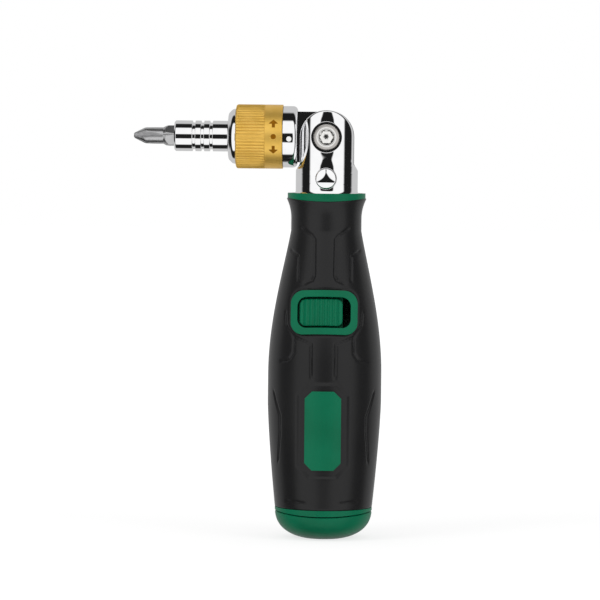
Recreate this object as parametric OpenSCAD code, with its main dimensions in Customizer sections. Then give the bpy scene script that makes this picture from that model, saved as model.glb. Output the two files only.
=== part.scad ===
// Folding ratchet screwdriver. Millimetres, +Z up along the handle.
// The origin is the middle of the foot of the end cap. The head folds about a Y axis at the
// top of the handle, and points to -X as drawn. The front of the handle faces -Y.

/* [Handle] */
// Height of the handle's top face above the foot
handle_h = 114.9; // [105:0.1:130]
// Radius of the waist under the fork
waist_r = 11.7; // [11:0.1:13]
// Radius of the belly of the grip
belly_r = 18.9; // [17.5:0.1:22]
// Radius of the grip's flared top lip
lip_r = 13.35; // [12.5:0.05:16]
// Radius of the green ring over the lip
ring_r = 12.95; // [12:0.05:15]
// Height of the green ring
ring_h = 1.6; // [1.2:0.1:4]
// How far the grip's lower edge is drawn in from the belly
rim_tuck = 2.7; // [2:0.1:3.3]
// Height of the grip's lower edge above the foot
rim_z = 10.3; // [9:0.1:14]
// Thickness of the soft grip over the hard core
sleeve_t = 2; // [1.2:0.1:2.4]
// Wall of the hard core round the magazine
core_wall = 1.2; // [0.8:0.1:1.6]
// Height of the green rim under the grip, at the front
joint_drop = 2; // [1.2:0.1:3]
// Radius of the arched joint between the core and the end cap
joint_arch_r = 128; // [100:1:300]
// Radius of the arched upper edge of the grip
lip_arch_r = 90; // [70:1:300]
// Gap between the core and the end cap
joint_gap = 0.3; // [0.2:0.05:0.6]

/* [Window plate] */
// Width of the blank plate on the front
plate_w = 12; // [8:0.1:14]
// Height of the blank plate
plate_h = 26.2; // [18:0.1:30]
// Height of the plate's middle above the foot
plate_z = 36.9; // [32:0.1:42]
// Corner cut of the plate
plate_cut = 2.4; // [1:0.1:3.5]
// Width of the soft rim round the plate
plate_rim = 2.5; // [1:0.1:4]
// Depth of the soft rim
plate_rim_depth = 0.5; // [0.2:0.1:0.9]

/* [Switch] */
// Height of the switch's middle as a share of the handle's height
switch_share = 0.6614; // [0.63:0.0002:0.68]
// Width of the frame
frame_w = 22; // [19:0.1:24]
// Height of the frame
frame_h = 14.6; // [13:0.1:18]
// Corner radius of the frame
frame_corner = 4.2; // [2:0.1:5]
// How far the frame stands proud at its middle
frame_proud = 0.5; // [0.2:0.1:1]
// Radius of the frame's curved face
frame_face_r = 22; // [20:0.5:30]
// Width of the opening in the frame
opening_w = 17.6; // [15:0.1:18]
// Height of the opening in the frame
opening_h = 10.3; // [9:0.1:11]
// Width of the slider
slider_w = 14.6; // [11:0.1:15]
// Height of the slider
slider_h = 9.3; // [7:0.1:10]
// Travel of the slider
slider_travel = 2.6; // [1:0.1:2.7]
// Number of ribs on the slider
slider_ribs = 8; // [4:1:12]

/* [Magazine] */
// Length of a bit
bit_l = 25; // [20:0.5:28]
// Size of a bit's hexagon across its flats
bit_af = 6.35; // [5:0.01:7]
// Floor and flange of the bit carrier
carrier_floor = 3; // [2:0.1:4]
// Length of the guide piston above the bits
piston_l = 6; // [4:0.1:9]
// Travel of the magazine
magazine_travel = 30; // [20:0.5:32]
// Radius of the catch post
post_r = 2; // [1.5:0.1:2.5]

/* [Fork] */
// Height of the fold axis above the handle
pivot_h = 18.6; // [17.5:0.1:24]
// Radius of the fork's lower part
fork_r = 10.3; // [9.6:0.1:11.5]
// Radius of the arch over the fold axis
ear_r = 8.9; // [8.6:0.1:9.2]
// Distance from the fork's axis to the floors of its two counterbores
counterbore_y = 6.6; // [6.2:0.1:7]
// Width of the slot between the ears
slot_w = 6.8; // [5:0.1:7.4]
// Radius of the stem inside the handle
stem_r = 6; // [5:0.1:6.8]
// Length of the stem
stem_l = 28; // [20:0.5:30]
// Radius of the pivot barrel
pivot_r = 2.5; // [2:0.1:3]
// Radius of the pivot screw's head
screw_head_r = 4.4; // [3.6:0.05:4.5]
// Radius of the counterbore round the head
counterbore_r = 5.05; // [4.8:0.05:5.4]

/* [Fold lock] */
// Height of the push button above the handle
button_h = 4.9; // [4.4:0.1:6]
// Radius of the push button
button_r = 3.35; // [3:0.05:3.5]
// Distance from the fork's axis to the foot of the button's dome
button_face_y = 9.6; // [9.2:0.1:10]
// Height of the button's dome
dome_h = 2.3; // [1.6:0.1:3]
// Travel of the button and of the plunger
lock_travel = 1.5; // [0.8:0.1:1.6]
// Radius of the plunger
plunger_r = 2.4; // [2:0.1:2.6]

/* [Head] */
// Distance from the fold axis to the back of the barrel
barrel_back = 9.8; // [9.7:0.1:13]
// Length of the chrome barrel
barrel_l = 4.7; // [4:0.1:8]
// Radius of the chrome barrel
barrel_r = 10.2; // [9.8:0.05:11]
// Radius of the selector ring
selector_r = 10.65; // [10:0.05:12]
// Length of the selector ring with its end gaps
selector_l = 15.9; // [14.5:0.1:20]
// Radius of the head body under the ring
body_r = 8.2; // [8:0.05:8.8]
// Length of the front cap
cap_l = 2.4; // [1.8:0.1:4]
// Radius of the front cap
cap_r = 9.2; // [8.8:0.1:10.5]
// Length of the bit sleeve
sleeve_l = 18; // [15:0.1:24]
// Radius of the bit sleeve
sleeve_r = 5.1; // [5:0.05:5.8]
// How far the bit stands out of the sleeve
bit_out = 13.6; // [12:0.1:16]
// Thickness of the tongue in the fork
tongue_t = 6.4; // [4.6:0.1:6.6]
// Radius of the tongue's round end
tongue_r = 8.4; // [8:0.05:8.5]
// Number of grooves in the knurl
knurl_count = 62; // [40:2:80]

/* [Ratchet] */
// Number of teeth of the ratchet wheel
teeth = 36; // [36:12:48]
// Outer radius of the wheel
gear_r = 5; // [4.8:0.05:5.2]
// Depth of a tooth
tooth_depth = 0.7; // [0.5:0.05:0.8]
// Radius of the spindle inside the wheel
spindle_r = 3.6; // [3:0.05:3.8]
// Radius of a pawl's pin
pawl_pin_r = 0.6; // [0.4:0.05:0.7]

/* [Fits] */
// Clearance of a shaft in its bearing
run_gap = 0.06; // [0.03:0.01:0.1]
// Clearance of a sliding part
slide_gap = 0.3; // [0.2:0.05:0.4]

/* [Hidden] */
$fn = 64;

green = [0.0, 0.42, 0.29];
black = [0.13, 0.13, 0.14];
chrome = [0.85, 0.86, 0.88];
gold = [0.84, 0.66, 0.31];
steel = [0.62, 0.63, 0.65];
brass = [0.78, 0.63, 0.35];

// How far a cut runs past the face that it opens
over = 0.5;
// Clearance between flat faces that slide on each other
face_gap = 0.1;

// Outline of the grip: heights as shares of the handle's height
waist_top_share = 0.928;
waist_low_share = 0.893;
belly_top_share = 0.475;
belly_low_share = 0.4;
// How quickly the shoulder rises below the waist, and how the belly falls to the rim
shoulder_power = 1.1;
fall_power = 1.4;
outline_steps = 26;
rim_r = belly_r - rim_tuck;
lip_z = handle_h - ring_h;
waist_top = handle_h * waist_top_share;
waist_low = handle_h * waist_low_share;
belly_top = handle_h * belly_top_share;
belly_low = handle_h * belly_low_share;

// Radius of the grip at height z: flat waist and belly, eased between them, flared at the lip
function grip_r(z) =
    z > waist_top ? waist_r + (lip_r - waist_r) * pow((z - waist_top) / (lip_z - waist_top), 2) :
    z > waist_low ? waist_r :
    z > belly_top ? waist_r + (belly_r - waist_r)
        * sin(90 * pow((waist_low - z) / (waist_low - belly_top), shoulder_power)) :
    z > belly_low ? belly_r :
    belly_r - (belly_r - rim_r) * pow((belly_low - z) / (belly_low - rim_z), fall_power);

// Points along the grip's outline from its lower edge to its lip, moved in by inset
function grip_line(inset) = [
    for (i = [0 : outline_steps])
        let (z = rim_z + (lip_z - rim_z) * i / outline_steps) [grip_r(z) - inset, z]
];
function reversed(points) = [for (i = [len(points) - 1 : -1 : 0]) points[i]];

// Solid of revolution inside the grip's outline moved in by inset
module grip_solid(inset) {
    rotate_extrude()
        polygon(concat([[0, rim_z]], grip_line(inset), [[0, lip_z]]));
}

// Flat outline with round corners, centred
module rounded(w, h, r) {
    square([w - 2 * r, h], center = true);
    square([w, h - 2 * r], center = true);
    for (x = [-1, 1], y = [-1, 1])
        translate([x * (w / 2 - r), y * (h / 2 - r)]) circle(r);
}

// Flat outline with cut corners, centred
module cut_corners(w, h, c) {
    polygon([
        [-w / 2 + c, -h / 2], [w / 2 - c, -h / 2], [w / 2, -h / 2 + c], [w / 2, h / 2 - c],
        [w / 2 - c, h / 2], [-w / 2 + c, h / 2], [-w / 2, h / 2 - c], [-w / 2, -h / 2 + c]
    ]);
}

// Stands a flat outline upright and runs it from y0 to y1
module upright(y0, y1) {
    translate([0, y1, 0]) rotate([90, 0, 0]) linear_extrude(y1 - y0) children();
}

// Spring as one tube: 8 rings a turn and 6 sides, standing on z = 0, free height h
spring_rings = 8;
spring_sides = 6;
function spring_centre(r, wire, h, turns, i) =
    let (n = turns * spring_rings, a = 360 * i / spring_rings)
    [r * cos(a), r * sin(a), wire + (h - 2 * wire) * i / n];
function spring_gap(wire, h, turns) = (h - 2 * wire) / turns - 2 * wire;
module coil_spring(r, wire, h, turns) {
    n = turns * spring_rings;
    lead = atan2((h - 2 * wire) / turns, 2 * PI * r);
    points = [
        for (i = [0 : n])
            let (c = spring_centre(r, wire, h, turns, i), a = 360 * i / spring_rings)
            for (k = [0 : spring_sides - 1])
                let (b = 360 * k / spring_sides, u = wire * cos(b), v = wire * sin(b))
                c + [
                    u * cos(a) + v * sin(lead) * sin(a),
                    u * sin(a) - v * sin(lead) * cos(a),
                    v * cos(lead)
                ]
    ];
    sides = [
        for (i = [0 : n - 1], k = [0 : spring_sides - 1])
            let (a = i * spring_sides + k, b = i * spring_sides + (k + 1) % spring_sides)
            each [
                [a, b + spring_sides, b],
                [a, a + spring_sides, b + spring_sides]
            ]
    ];
    ends = [
        for (k = [1 : spring_sides - 2])
            each [
                [0, k, k + 1],
                [n * spring_sides, n * spring_sides + k + 1, n * spring_sides + k]
            ]
    ];
    polyhedron(points = points, faces = concat(sides, ends));
    echo(least_gap_of_spring = spring_gap(wire, h, turns));
}

// Handle

cap_drop = rim_z - joint_drop;
cavity_r = rim_r - sleeve_t - core_wall;
stem_bottom = handle_h - stem_l;
bulkhead_t = 5.4;
chamber_h = 12.8;
chamber_back = 7;
frame_depth = 5;
switch_z = handle_h * switch_share;
surface_r = grip_r(switch_z);
switch_tilt = atan((grip_r(switch_z - frame_h / 2) - grip_r(switch_z + frame_h / 2)) / frame_h);
chamber_reach = surface_r + chamber_back;
cavity_top = switch_z - chamber_reach * sin(switch_tilt) - chamber_h / 2 - bulkhead_t;
plate_proud = 0.15;
pin_r = 1.25;
pin_z = (stem_bottom + handle_h) / 2 - stem_r;
pin_inset = 0.6;

lip_low = lip_z - lip_arch_r + sqrt(lip_arch_r * lip_arch_r - lip_r * lip_r);

// Moves children to the middle of the switch, their -Y side facing out square to the grip
module at_switch() {
    translate([0, -surface_r, switch_z]) rotate([-switch_tilt, 0, 0]) children();
}

// Cylinder whose underside is an arched joint of radius r, lowest at height z, and gap lower
module arch(z, r, gap) {
    translate([0, 0, z + r]) rotate([90, 0, 0])
        cylinder(r = r + gap, h = 3 * rim_r, center = true, $fn = 180);
}

module frame_block() {
    intersection() {
        at_switch() upright(-frame_proud * 2, frame_depth) rounded(frame_w, frame_h, frame_corner);
        at_switch() translate([0, frame_face_r - frame_proud, 0])
            cylinder(r = frame_face_r, h = 2 * frame_h, center = true);
    }
}

opening_corner = 3;
frame_lip = 4;
module switch_chamber() {
    at_switch() {
        upright(-frame_proud * 2 - over, frame_lip + over)
            rounded(opening_w, opening_h, opening_corner);
        translate([-opening_w / 2, frame_lip, -chamber_h / 2])
            cube([opening_w, chamber_reach - frame_lip, chamber_h]);
    }
}

module window_outline(grow) {
    translate([0, plate_z])
        cut_corners(plate_w + 2 * grow, plate_h + 2 * grow, plate_cut + grow * tan(22.5));
}

module handle_core() {
    color(green) difference() {
        union() {
            grip_solid(sleeve_t);
            translate([0, 0, lip_z]) cylinder(r = ring_r, h = ring_h);
            intersection() {
                translate([0, 0, cap_drop - over]) cylinder(r = rim_r, h = joint_drop + over);
                arch(cap_drop, joint_arch_r, 0);
            }
            intersection() {
                grip_solid(lip_r - ring_r);
                arch(lip_low, lip_arch_r, 0);
            }
            intersection() {
                upright(-belly_r * 2, -cavity_r) window_outline(0);
                grip_solid(-plate_proud);
            }
            frame_block();
        }
        translate([0, 0, cap_drop - 2 * over])
            cylinder(r = cavity_r, h = cavity_top - cap_drop + 2 * over);
        translate([0, 0, cavity_top - over])
            cylinder(r = post_head_r + slide_gap, h = bulkhead_t + chamber_h);
        translate([0, 0, stem_bottom]) cylinder(r = stem_r, h = stem_l + over);
        switch_chamber();
        stem_cross_hole();
    }
}

module stem_cross_hole() {
    translate([0, 0, pin_z]) rotate([0, 90, 0])
        cylinder(r = pin_r, h = 4 * stem_r, center = true);
}

module grip_sleeve() {
    color(black) difference() {
        rotate_extrude() polygon(concat(grip_line(0), reversed(grip_line(sleeve_t))));
        arch(lip_low, lip_arch_r, 0);
        upright(-belly_r * 2, 0) window_outline(0);
        at_switch() upright(-frame_proud * 4, frame_depth) rounded(frame_w, frame_h, frame_corner);
        difference() {
            upright(-belly_r * 2, 0) window_outline(plate_rim);
            grip_solid(plate_rim_depth);
        }
    }
}

module stem_pin() {
    color(steel) translate([0, 0, pin_z]) rotate([0, 90, 0])
        cylinder(r = pin_r, h = 2 * (grip_r(pin_z) - sleeve_t - pin_inset), center = true);
}

// Switch

slider_crown = 0.5;
slider_base_t = 1.4;
slider_face_r = frame_face_r - frame_proud;
slider_x = -(opening_w - slider_w) / 2 + slide_gap;
slider_flange_h = chamber_h - 2 * slide_gap;
rib_depth = 0.5;
rib_margin = 1.6;
rib_share = 0.45;
plate_t = 1.2;
latch_plate_back = surface_r + chamber_back - slide_gap;
post_head_r = 1.5 * post_r;
post_slot_r = post_head_r + slide_gap;
post_slot_y = surface_r / cos(switch_tilt);
latch_tab_t = 1;
latch_spring_r = 1.3;
latch_spring_wire = 0.2;
latch_spring_y = post_slot_y + post_slot_r + latch_spring_r + slide_gap;
latch_spring_turns = 8;

module latch_slider() {
    pitch = (slider_w - 2 * rib_margin) / slider_ribs;
    color(green) at_switch() difference() {
        union() {
            intersection() {
                upright(-frame_proud * 2, frame_lip + slide_gap + over)
                    translate([slider_x, 0])
                        rounded(slider_w, slider_h, opening_corner - slide_gap);
                translate([slider_x, slider_face_r - frame_proud + slider_crown, 0])
                    cylinder(r = slider_face_r, h = 2 * slider_h, center = true);
            }
            translate([slider_x - slider_w / 2, frame_lip + slide_gap, -slider_flange_h / 2])
                cube([slider_w, slider_base_t, slider_flange_h]);
        }
        for (i = [0 : slider_ribs - 1])
            translate([slider_x - slider_w / 2 + rib_margin + (i + (1 - rib_share) / 2) * pitch,
                       -frame_proud * 3, -slider_h])
                cube([pitch * rib_share, frame_proud * 3 + slider_crown + rib_depth,
                      2 * slider_h]);
    }
}

latch_front = frame_lip + slide_gap + slider_base_t;
module latch_plate() {
    color(steel) at_switch() {
        difference() {
            translate([slider_x - slider_w / 2, latch_front, -plate_t / 2])
                cube([slider_w, latch_plate_back - latch_front, plate_t]);
            for (x = [-slider_travel, 0])
                translate([x, post_slot_y, -plate_t]) cylinder(r = post_slot_r, h = 2 * plate_t);
            translate([-slider_travel, post_slot_y - post_slot_r, -plate_t])
                cube([slider_travel, 2 * post_slot_r, 2 * plate_t]);
        }
        translate([slider_x - slider_w / 2, latch_spring_y - latch_spring_r - latch_spring_wire,
                   plate_t / 2])
            cube([latch_tab_t, 2 * latch_spring_r + 2 * latch_spring_wire,
                  2 * (latch_spring_r + 2 * latch_spring_wire)]);
    }
}

module latch_spring() {
    start = slider_x - slider_w / 2 + latch_tab_t;
    color(steel) at_switch()
        translate([start, latch_spring_y, plate_t / 2 + latch_spring_r + 2 * latch_spring_wire])
            rotate([0, 90, 0])
                coil_spring(latch_spring_r, latch_spring_wire, opening_w / 2 - start,
                            latch_spring_turns);
}

// Magazine

foot_cut = 0.5;
dome_depth = rim_z + foot_cut;
dome_power = 2.5;
dome_steps = 14;
carrier_r = cavity_r - slide_gap;
cap_seat = 1;
carrier_z = cap_drop - joint_gap - cap_seat;
pocket_gap = 0.13;
pocket_r = bit_af / sqrt(3) + pocket_gap;
pocket_lip = 0.1;
pocket_web = 1.1;
pocket_mouth = bit_af + 2 * pocket_gap;
bit_circle_r = carrier_r - pocket_r - pocket_lip;
pocket_count = floor(180 / asin((pocket_r + pocket_web / 2) / bit_circle_r));
pocket_z = carrier_z + carrier_floor;
bit_play = 1;
pocket_h = bit_l + bit_play;
piston_z = pocket_z + pocket_h;
piston_top = piston_z + piston_l;
post_head_h = 2;
post_seat = 4;
plate_at_post = switch_z - surface_r * tan(switch_tilt);
post_top = plate_at_post + 2 * post_head_h;
clip_t = 0.8;
clip_r = 2 * post_r;
ejector_space = 2;
ejector_r = clip_r + ejector_space;
ejector_wire = 0.5;
ejector_pitch = 2.9;

// Half outline of the cap's dome: a superellipse cut flat at the foot
function dome_r(z) = rim_r * pow(1 - pow((rim_z - z) / dome_depth, dome_power), 1 / dome_power);

module end_cap() {
    color(green) difference() {
        rotate_extrude() polygon(concat(
            [[0, 0]],
            [for (i = [0 : dome_steps]) let (z = rim_z * pow(i / dome_steps, 2)) [dome_r(z), z]],
            [[0, rim_z]]
        ));
        arch(cap_drop, joint_arch_r, joint_gap);
        translate([0, 0, carrier_z]) cylinder(r = carrier_r, h = rim_z);
        translate([0, 0, carrier_z - post_seat]) cylinder(r = post_r, h = rim_z);
    }
}

module bit_carrier() {
    color(black) difference() {
        translate([0, 0, carrier_z]) cylinder(r = carrier_r, h = piston_top - carrier_z);
        for (i = [0 : pocket_count - 1]) rotate([0, 0, 360 * i / pocket_count])
            translate([bit_circle_r, 0, pocket_z]) {
                cylinder(r = pocket_r, h = pocket_h);
                translate([0, -pocket_mouth / 2, 0]) cube([carrier_r, pocket_mouth, pocket_h]);
            }
        translate([0, 0, carrier_z - over])
            cylinder(r = post_r, h = piston_top - carrier_z + 2 * over);
    }
}

module catch_post() {
    color(steel) {
        translate([0, 0, carrier_z - post_seat])
            cylinder(r = post_r, h = post_top - carrier_z + post_seat);
        translate([0, 0, post_top - post_head_h]) cylinder(r = post_head_r, h = post_head_h);
    }
}

module post_clip() {
    color(steel) difference() {
        translate([0, 0, piston_top]) cylinder(r = clip_r, h = clip_t);
        translate([0, 0, piston_top - over]) cylinder(r = post_r, h = clip_t + 2 * over);
        translate([0, -post_r / 2, piston_top - over]) cube([clip_r + over, post_r, clip_t + 2 * over]);
    }
}

// Bit: hexagonal shank, round neck and a tapered point, standing on z = 0.
// The point has four flutes that run out on the neck, or two flats where flutes is false.
shank_share = 0.56;
neck_share = 0.43;
point_share = 0.14;
web_share = 0.09;
cone_share = 0.62;
ramp_share = 0.18;
flute_tilt = 12;
flat_tilt = 14;
bit_corner_r = bit_af / sqrt(3);
bit_neck_r = bit_af * neck_share;
bit_point_r = bit_af * point_share;
bit_web_r = bit_af * web_share;
bit_cone_l = bit_af * cone_share;
bit_ramp_l = bit_af * ramp_share;
module screw_bit(flutes) {
    shank_l = bit_l * shank_share;
    neck_top = bit_l - bit_cone_l;
    difference() {
        union() {
            cylinder(r = bit_corner_r, h = shank_l, $fn = 6);
            translate([0, 0, shank_l]) cylinder(r1 = bit_af / 2, r2 = bit_neck_r, h = bit_ramp_l);
            translate([0, 0, shank_l + bit_ramp_l])
                cylinder(r = bit_neck_r, h = neck_top - shank_l - bit_ramp_l);
            translate([0, 0, neck_top]) cylinder(r1 = bit_neck_r, r2 = bit_point_r, h = bit_cone_l);
        }
        if (flutes)
            for (a = [0 : 90 : 270]) rotate([0, 0, a])
                translate([bit_web_r, 0, bit_l]) rotate([0, -flute_tilt, 0]) rotate([0, 0, -45])
                    translate([0, 0, -bit_l]) cube([bit_af, bit_af, bit_l + bit_af]);
        if (!flutes)
            for (side = [-1, 1])
                translate([side * bit_web_r, 0, bit_l]) rotate([0, -side * flat_tilt, 0])
                    translate([side * bit_af / 2, 0, 0])
                        cube([bit_af, 2 * bit_af, 2 * bit_l], center = true);
    }
}

module spare_bits() {
    color(steel) for (i = [0 : pocket_count - 1]) rotate([0, 0, 360 * i / pocket_count])
        translate([bit_circle_r, 0, pocket_z]) screw_bit(i % 2 == 0);
}

module ejector_spring() {
    color(steel) translate([0, 0, piston_top])
        coil_spring(ejector_r, ejector_wire, cavity_top - piston_top,
                    floor((cavity_top - piston_top) / ejector_pitch));
}

// Fork

pivot_z = handle_h + pivot_h;
slot_floor = pivot_z - tongue_r - 3 * slide_gap;
shoulder_top = pivot_z - ear_r;
shoulder_h = 2.2;
screw_rim_t = 1.5;
screw_dome_h = 1.9;
socket_af = 3.8;
socket_depth = 2;
nut_thread_r = 0.6 * pivot_r;
button_z = handle_h + button_h;
button_bore_r = button_r + run_gap;
button_web = 0.8;
button_bore_y = -plunger_r - run_gap - button_web;
ledge_t = 2;
plunger_ledge = slot_floor - ledge_t;
tip_r = 0.62 * plunger_r;
plunger_bottom = handle_h - plunger_r;
plunger_spring_l = 8;
plunger_bore_bottom = plunger_bottom - plunger_spring_l;
blade_w = 0.75 * plunger_r;
blade_low = button_z - plunger_r;
blade_h = 2;
blade_top = blade_low + blade_h;
blade_blunt = 0.2;
ramp_y = -0.75 * plunger_r;
ramp_gap = 0.08;

module fork_side() {
    polygon([
        [-fork_r, handle_h], [fork_r, handle_h], [fork_r, shoulder_top - shoulder_h],
        [ear_r, shoulder_top], [ear_r, pivot_z], [-ear_r, pivot_z], [-ear_r, shoulder_top],
        [-fork_r, shoulder_top - shoulder_h]
    ]);
    translate([0, pivot_z]) circle(ear_r, $fn = 96);
}

module fork() {
    color(chrome) difference() {
        union() {
            intersection() {
                translate([0, 0, handle_h]) cylinder(r = fork_r, h = pivot_h + 2 * ear_r);
                upright(-2 * fork_r, 2 * fork_r) fork_side();
            }
            translate([0, 0, stem_bottom]) cylinder(r = stem_r, h = stem_l + over);
        }
        translate([-2 * fork_r, -slot_w / 2, slot_floor])
            cube([4 * fork_r, slot_w, pivot_h + 2 * ear_r]);
        translate([0, 0, pivot_z]) rotate([90, 0, 0])
            cylinder(r = pivot_r, h = 4 * fork_r, center = true);
        for (side = [-1, 1])
            translate([0, side * (counterbore_y + fork_r), pivot_z]) rotate([90, 0, 0])
                cylinder(r = counterbore_r, h = 2 * fork_r, center = true);
        translate([0, 0, plunger_bore_bottom])
            cylinder(r = plunger_r + run_gap, h = plunger_ledge - plunger_bore_bottom);
        translate([0, 0, plunger_ledge - over])
            cylinder(r = tip_r + run_gap, h = slot_floor - plunger_ledge + 2 * over);
        upright(-2 * fork_r, button_bore_y) translate([0, button_z]) circle(button_bore_r);
        translate([-blade_w / 2 - run_gap, button_bore_y - over, blade_low - run_gap])
            cube([blade_w + 2 * run_gap, -button_bore_y + over, blade_h + 2 * run_gap]);
        stem_cross_hole();
    }
}

// Domed disc on the XZ plane with its edge at y = 0, bulging to -Y
module dome(r, h) {
    ball = (r * r + h * h) / (2 * h);
    rotate([90, 0, 0]) rotate_extrude() intersection() {
        translate([0, h - ball]) circle(ball, $fn = 180);
        square([r, h]);
    }
}

module screw_head() {
    rotate([90, 0, 0]) cylinder(r = screw_head_r, h = screw_rim_t);
    translate([0, -screw_rim_t, 0]) dome(screw_head_r, screw_dome_h);
}

module pivot_screw() {
    shank = counterbore_y + 0.5 * slot_w;
    color(chrome) translate([0, -counterbore_y, pivot_z]) difference() {
        union() {
            screw_head();
            translate([0, shank, 0]) rotate([90, 0, 0]) cylinder(r = nut_thread_r, h = shank + over);
        }
        translate([0, socket_depth - screw_rim_t - screw_dome_h, 0]) rotate([90, 0, 0])
            cylinder(r = socket_af / sqrt(3), h = 2 * socket_depth, $fn = 6);
    }
}

module pivot_nut() {
    color(chrome) translate([0, 0, pivot_z]) difference() {
        union() {
            translate([0, counterbore_y, 0]) mirror([0, 1, 0]) screw_head();
            translate([0, counterbore_y + over, 0]) rotate([90, 0, 0])
                cylinder(r = pivot_r, h = 2 * counterbore_y + over);
        }
        translate([0, 0.5 * slot_w + over, 0]) rotate([90, 0, 0])
            cylinder(r = nut_thread_r, h = 4 * fork_r);
    }
}

// Fold lock

button_body_l = 3.2;
button_back = button_body_l - button_face_y;
module lock_button() {
    color(chrome) {
        translate([0, button_back, button_z]) rotate([90, 0, 0])
            cylinder(r = button_r, h = button_body_l);
        translate([0, -button_face_y, button_z]) dome(button_r, dome_h);
        translate([-blade_w / 2, 0, 0]) rotate([90, 0, 90]) linear_extrude(blade_w) polygon([
            [button_back - over, blade_low], [ramp_y, blade_low],
            [ramp_y + blade_h - blade_blunt, blade_top - blade_blunt],
            [ramp_y + blade_h - blade_blunt, blade_top], [button_back - over, blade_top]
        ]);
    }
}

button_spring_r = 3;
button_spring_wire = 0.16;
button_spring_turns = 3;
module button_spring() {
    color(steel) translate([0, button_bore_y, button_z]) rotate([90, 0, 0])
        coil_spring(button_spring_r, button_spring_wire, button_bore_y - button_back,
                    button_spring_turns);
}

plunger_tip_gap = 0.3;
module lock_plunger() {
    top = plunger_ledge - run_gap;
    window_top = blade_top + lock_travel + face_gap;
    reach = 1.3 * plunger_r;
    color(steel) difference() {
        union() {
            translate([0, 0, plunger_bottom]) cylinder(r = plunger_r, h = top - plunger_bottom);
            translate([0, 0, top - over])
                cylinder(r = tip_r, h = pivot_z - tongue_r - plunger_tip_gap - top + over);
        }
        translate([-blade_w / 2 - run_gap, 0, 0]) rotate([90, 0, 90])
            linear_extrude(blade_w + 2 * run_gap) polygon([
                [-reach, blade_low - ramp_gap - reach - ramp_y],
                [ramp_y + ramp_gap + window_top - blade_low, window_top],
                [-reach, window_top]
            ]);
    }
}

plunger_spring_wire = 0.22;
plunger_spring_turns = 7;
module plunger_spring() {
    color(steel) translate([0, 0, plunger_bore_bottom])
        coil_spring(0.7 * plunger_r, plunger_spring_wire, plunger_spring_l, plunger_spring_turns);
}

// Head: its pieces are drawn along +Z from the fold axis, +X up, and laid over to -X

module along_head() {
    translate([0, 0, pivot_z]) rotate([0, -90, 0]) children();
}

barrel_front = barrel_back + barrel_l;
selector_end = barrel_front + selector_l;
cap_end = selector_end + cap_l;
sleeve_end = cap_end + sleeve_l;
barrel_round = 1.5;
round_steps = 5;
notch_count = 7;
notch_r = tip_r + 2 * run_gap;
notch_depth = 1.6;
journal_r = 3;
rear_bush_r = 4.4;
bore_offset = 2.6;
bush_offset = 3.2;
room_wall = 3.5;
room_back = barrel_front + room_wall;
washer_t = 1.1;
spigot_l = 2.2;
spigot_r = 6.55;
room_front = selector_end - spigot_l;
gear_back = room_back + 4 * face_gap;
gear_end = room_front - washer_t - 2 * face_gap;
pawl_setback = 2.4;
pawl_short = 0.5;
pawl_back = room_back + pawl_setback;
pawl_end = gear_end - pawl_short;
room_r = gear_r + slide_gap;
pocket_outer_r = 7.6;
pocket_span = 48;
pin_circle_r = 6.4;
pin_angle = 35;
pin_depth = 1.6;
selector_turn = 24;
finger_span = 5;
finger_play = 1;
finger_r = 7.4;
detent_offset = 1.9;
detent_s = barrel_front + detent_offset;
ball_r = 0.8;
detent_web = 0.5;
detent_floor = rear_bush_r + detent_web;
bush_r = 5;
front_journal_r = 4;
hex_gap = 0.075;
bit_turn = 38;
bit_back = sleeve_end + bit_out - bit_l;
magnet_t = 2.6;
magnet_r = 2.5;
nose_r = 3.4;
nose_l = 3;

// Profile of a disc from z0 to z1 whose edge is rounded at its z0 end or its z1 end
module rounded_disc(r, z0, z1, round_r, at_start) {
    rotate_extrude() polygon(concat(
        at_start ? [[0, z0]] : [[0, z0], [r, z0]],
        [for (i = [0 : round_steps])
            let (a = 90 * i / round_steps)
            at_start ? [r - round_r + round_r * sin(a), z0 + round_r - round_r * cos(a)]
                     : [r - round_r + round_r * cos(a), z1 - round_r + round_r * sin(a)]],
        at_start ? [[r, z1], [0, z1]] : [[0, z1]]
    ));
}

// Wedge of a disc, span degrees to each side of +X
module sector(r, span, z0, z1) {
    rotate([0, 0, -span]) translate([0, 0, z0])
        rotate_extrude(angle = 2 * span) square([r, z1 - z0]);
}

function polar(r, a) = [r * cos(a), r * sin(a)];
function at_pin(side) = polar(pin_circle_r, side * pin_angle);

// Outline of n pointed teeth between radius r - depth and radius r
function toothed(r, depth, n) = [
    for (i = [0 : 2 * n - 1]) polar(i % 2 == 0 ? r : r - depth, 180 * i / n)
];

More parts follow.
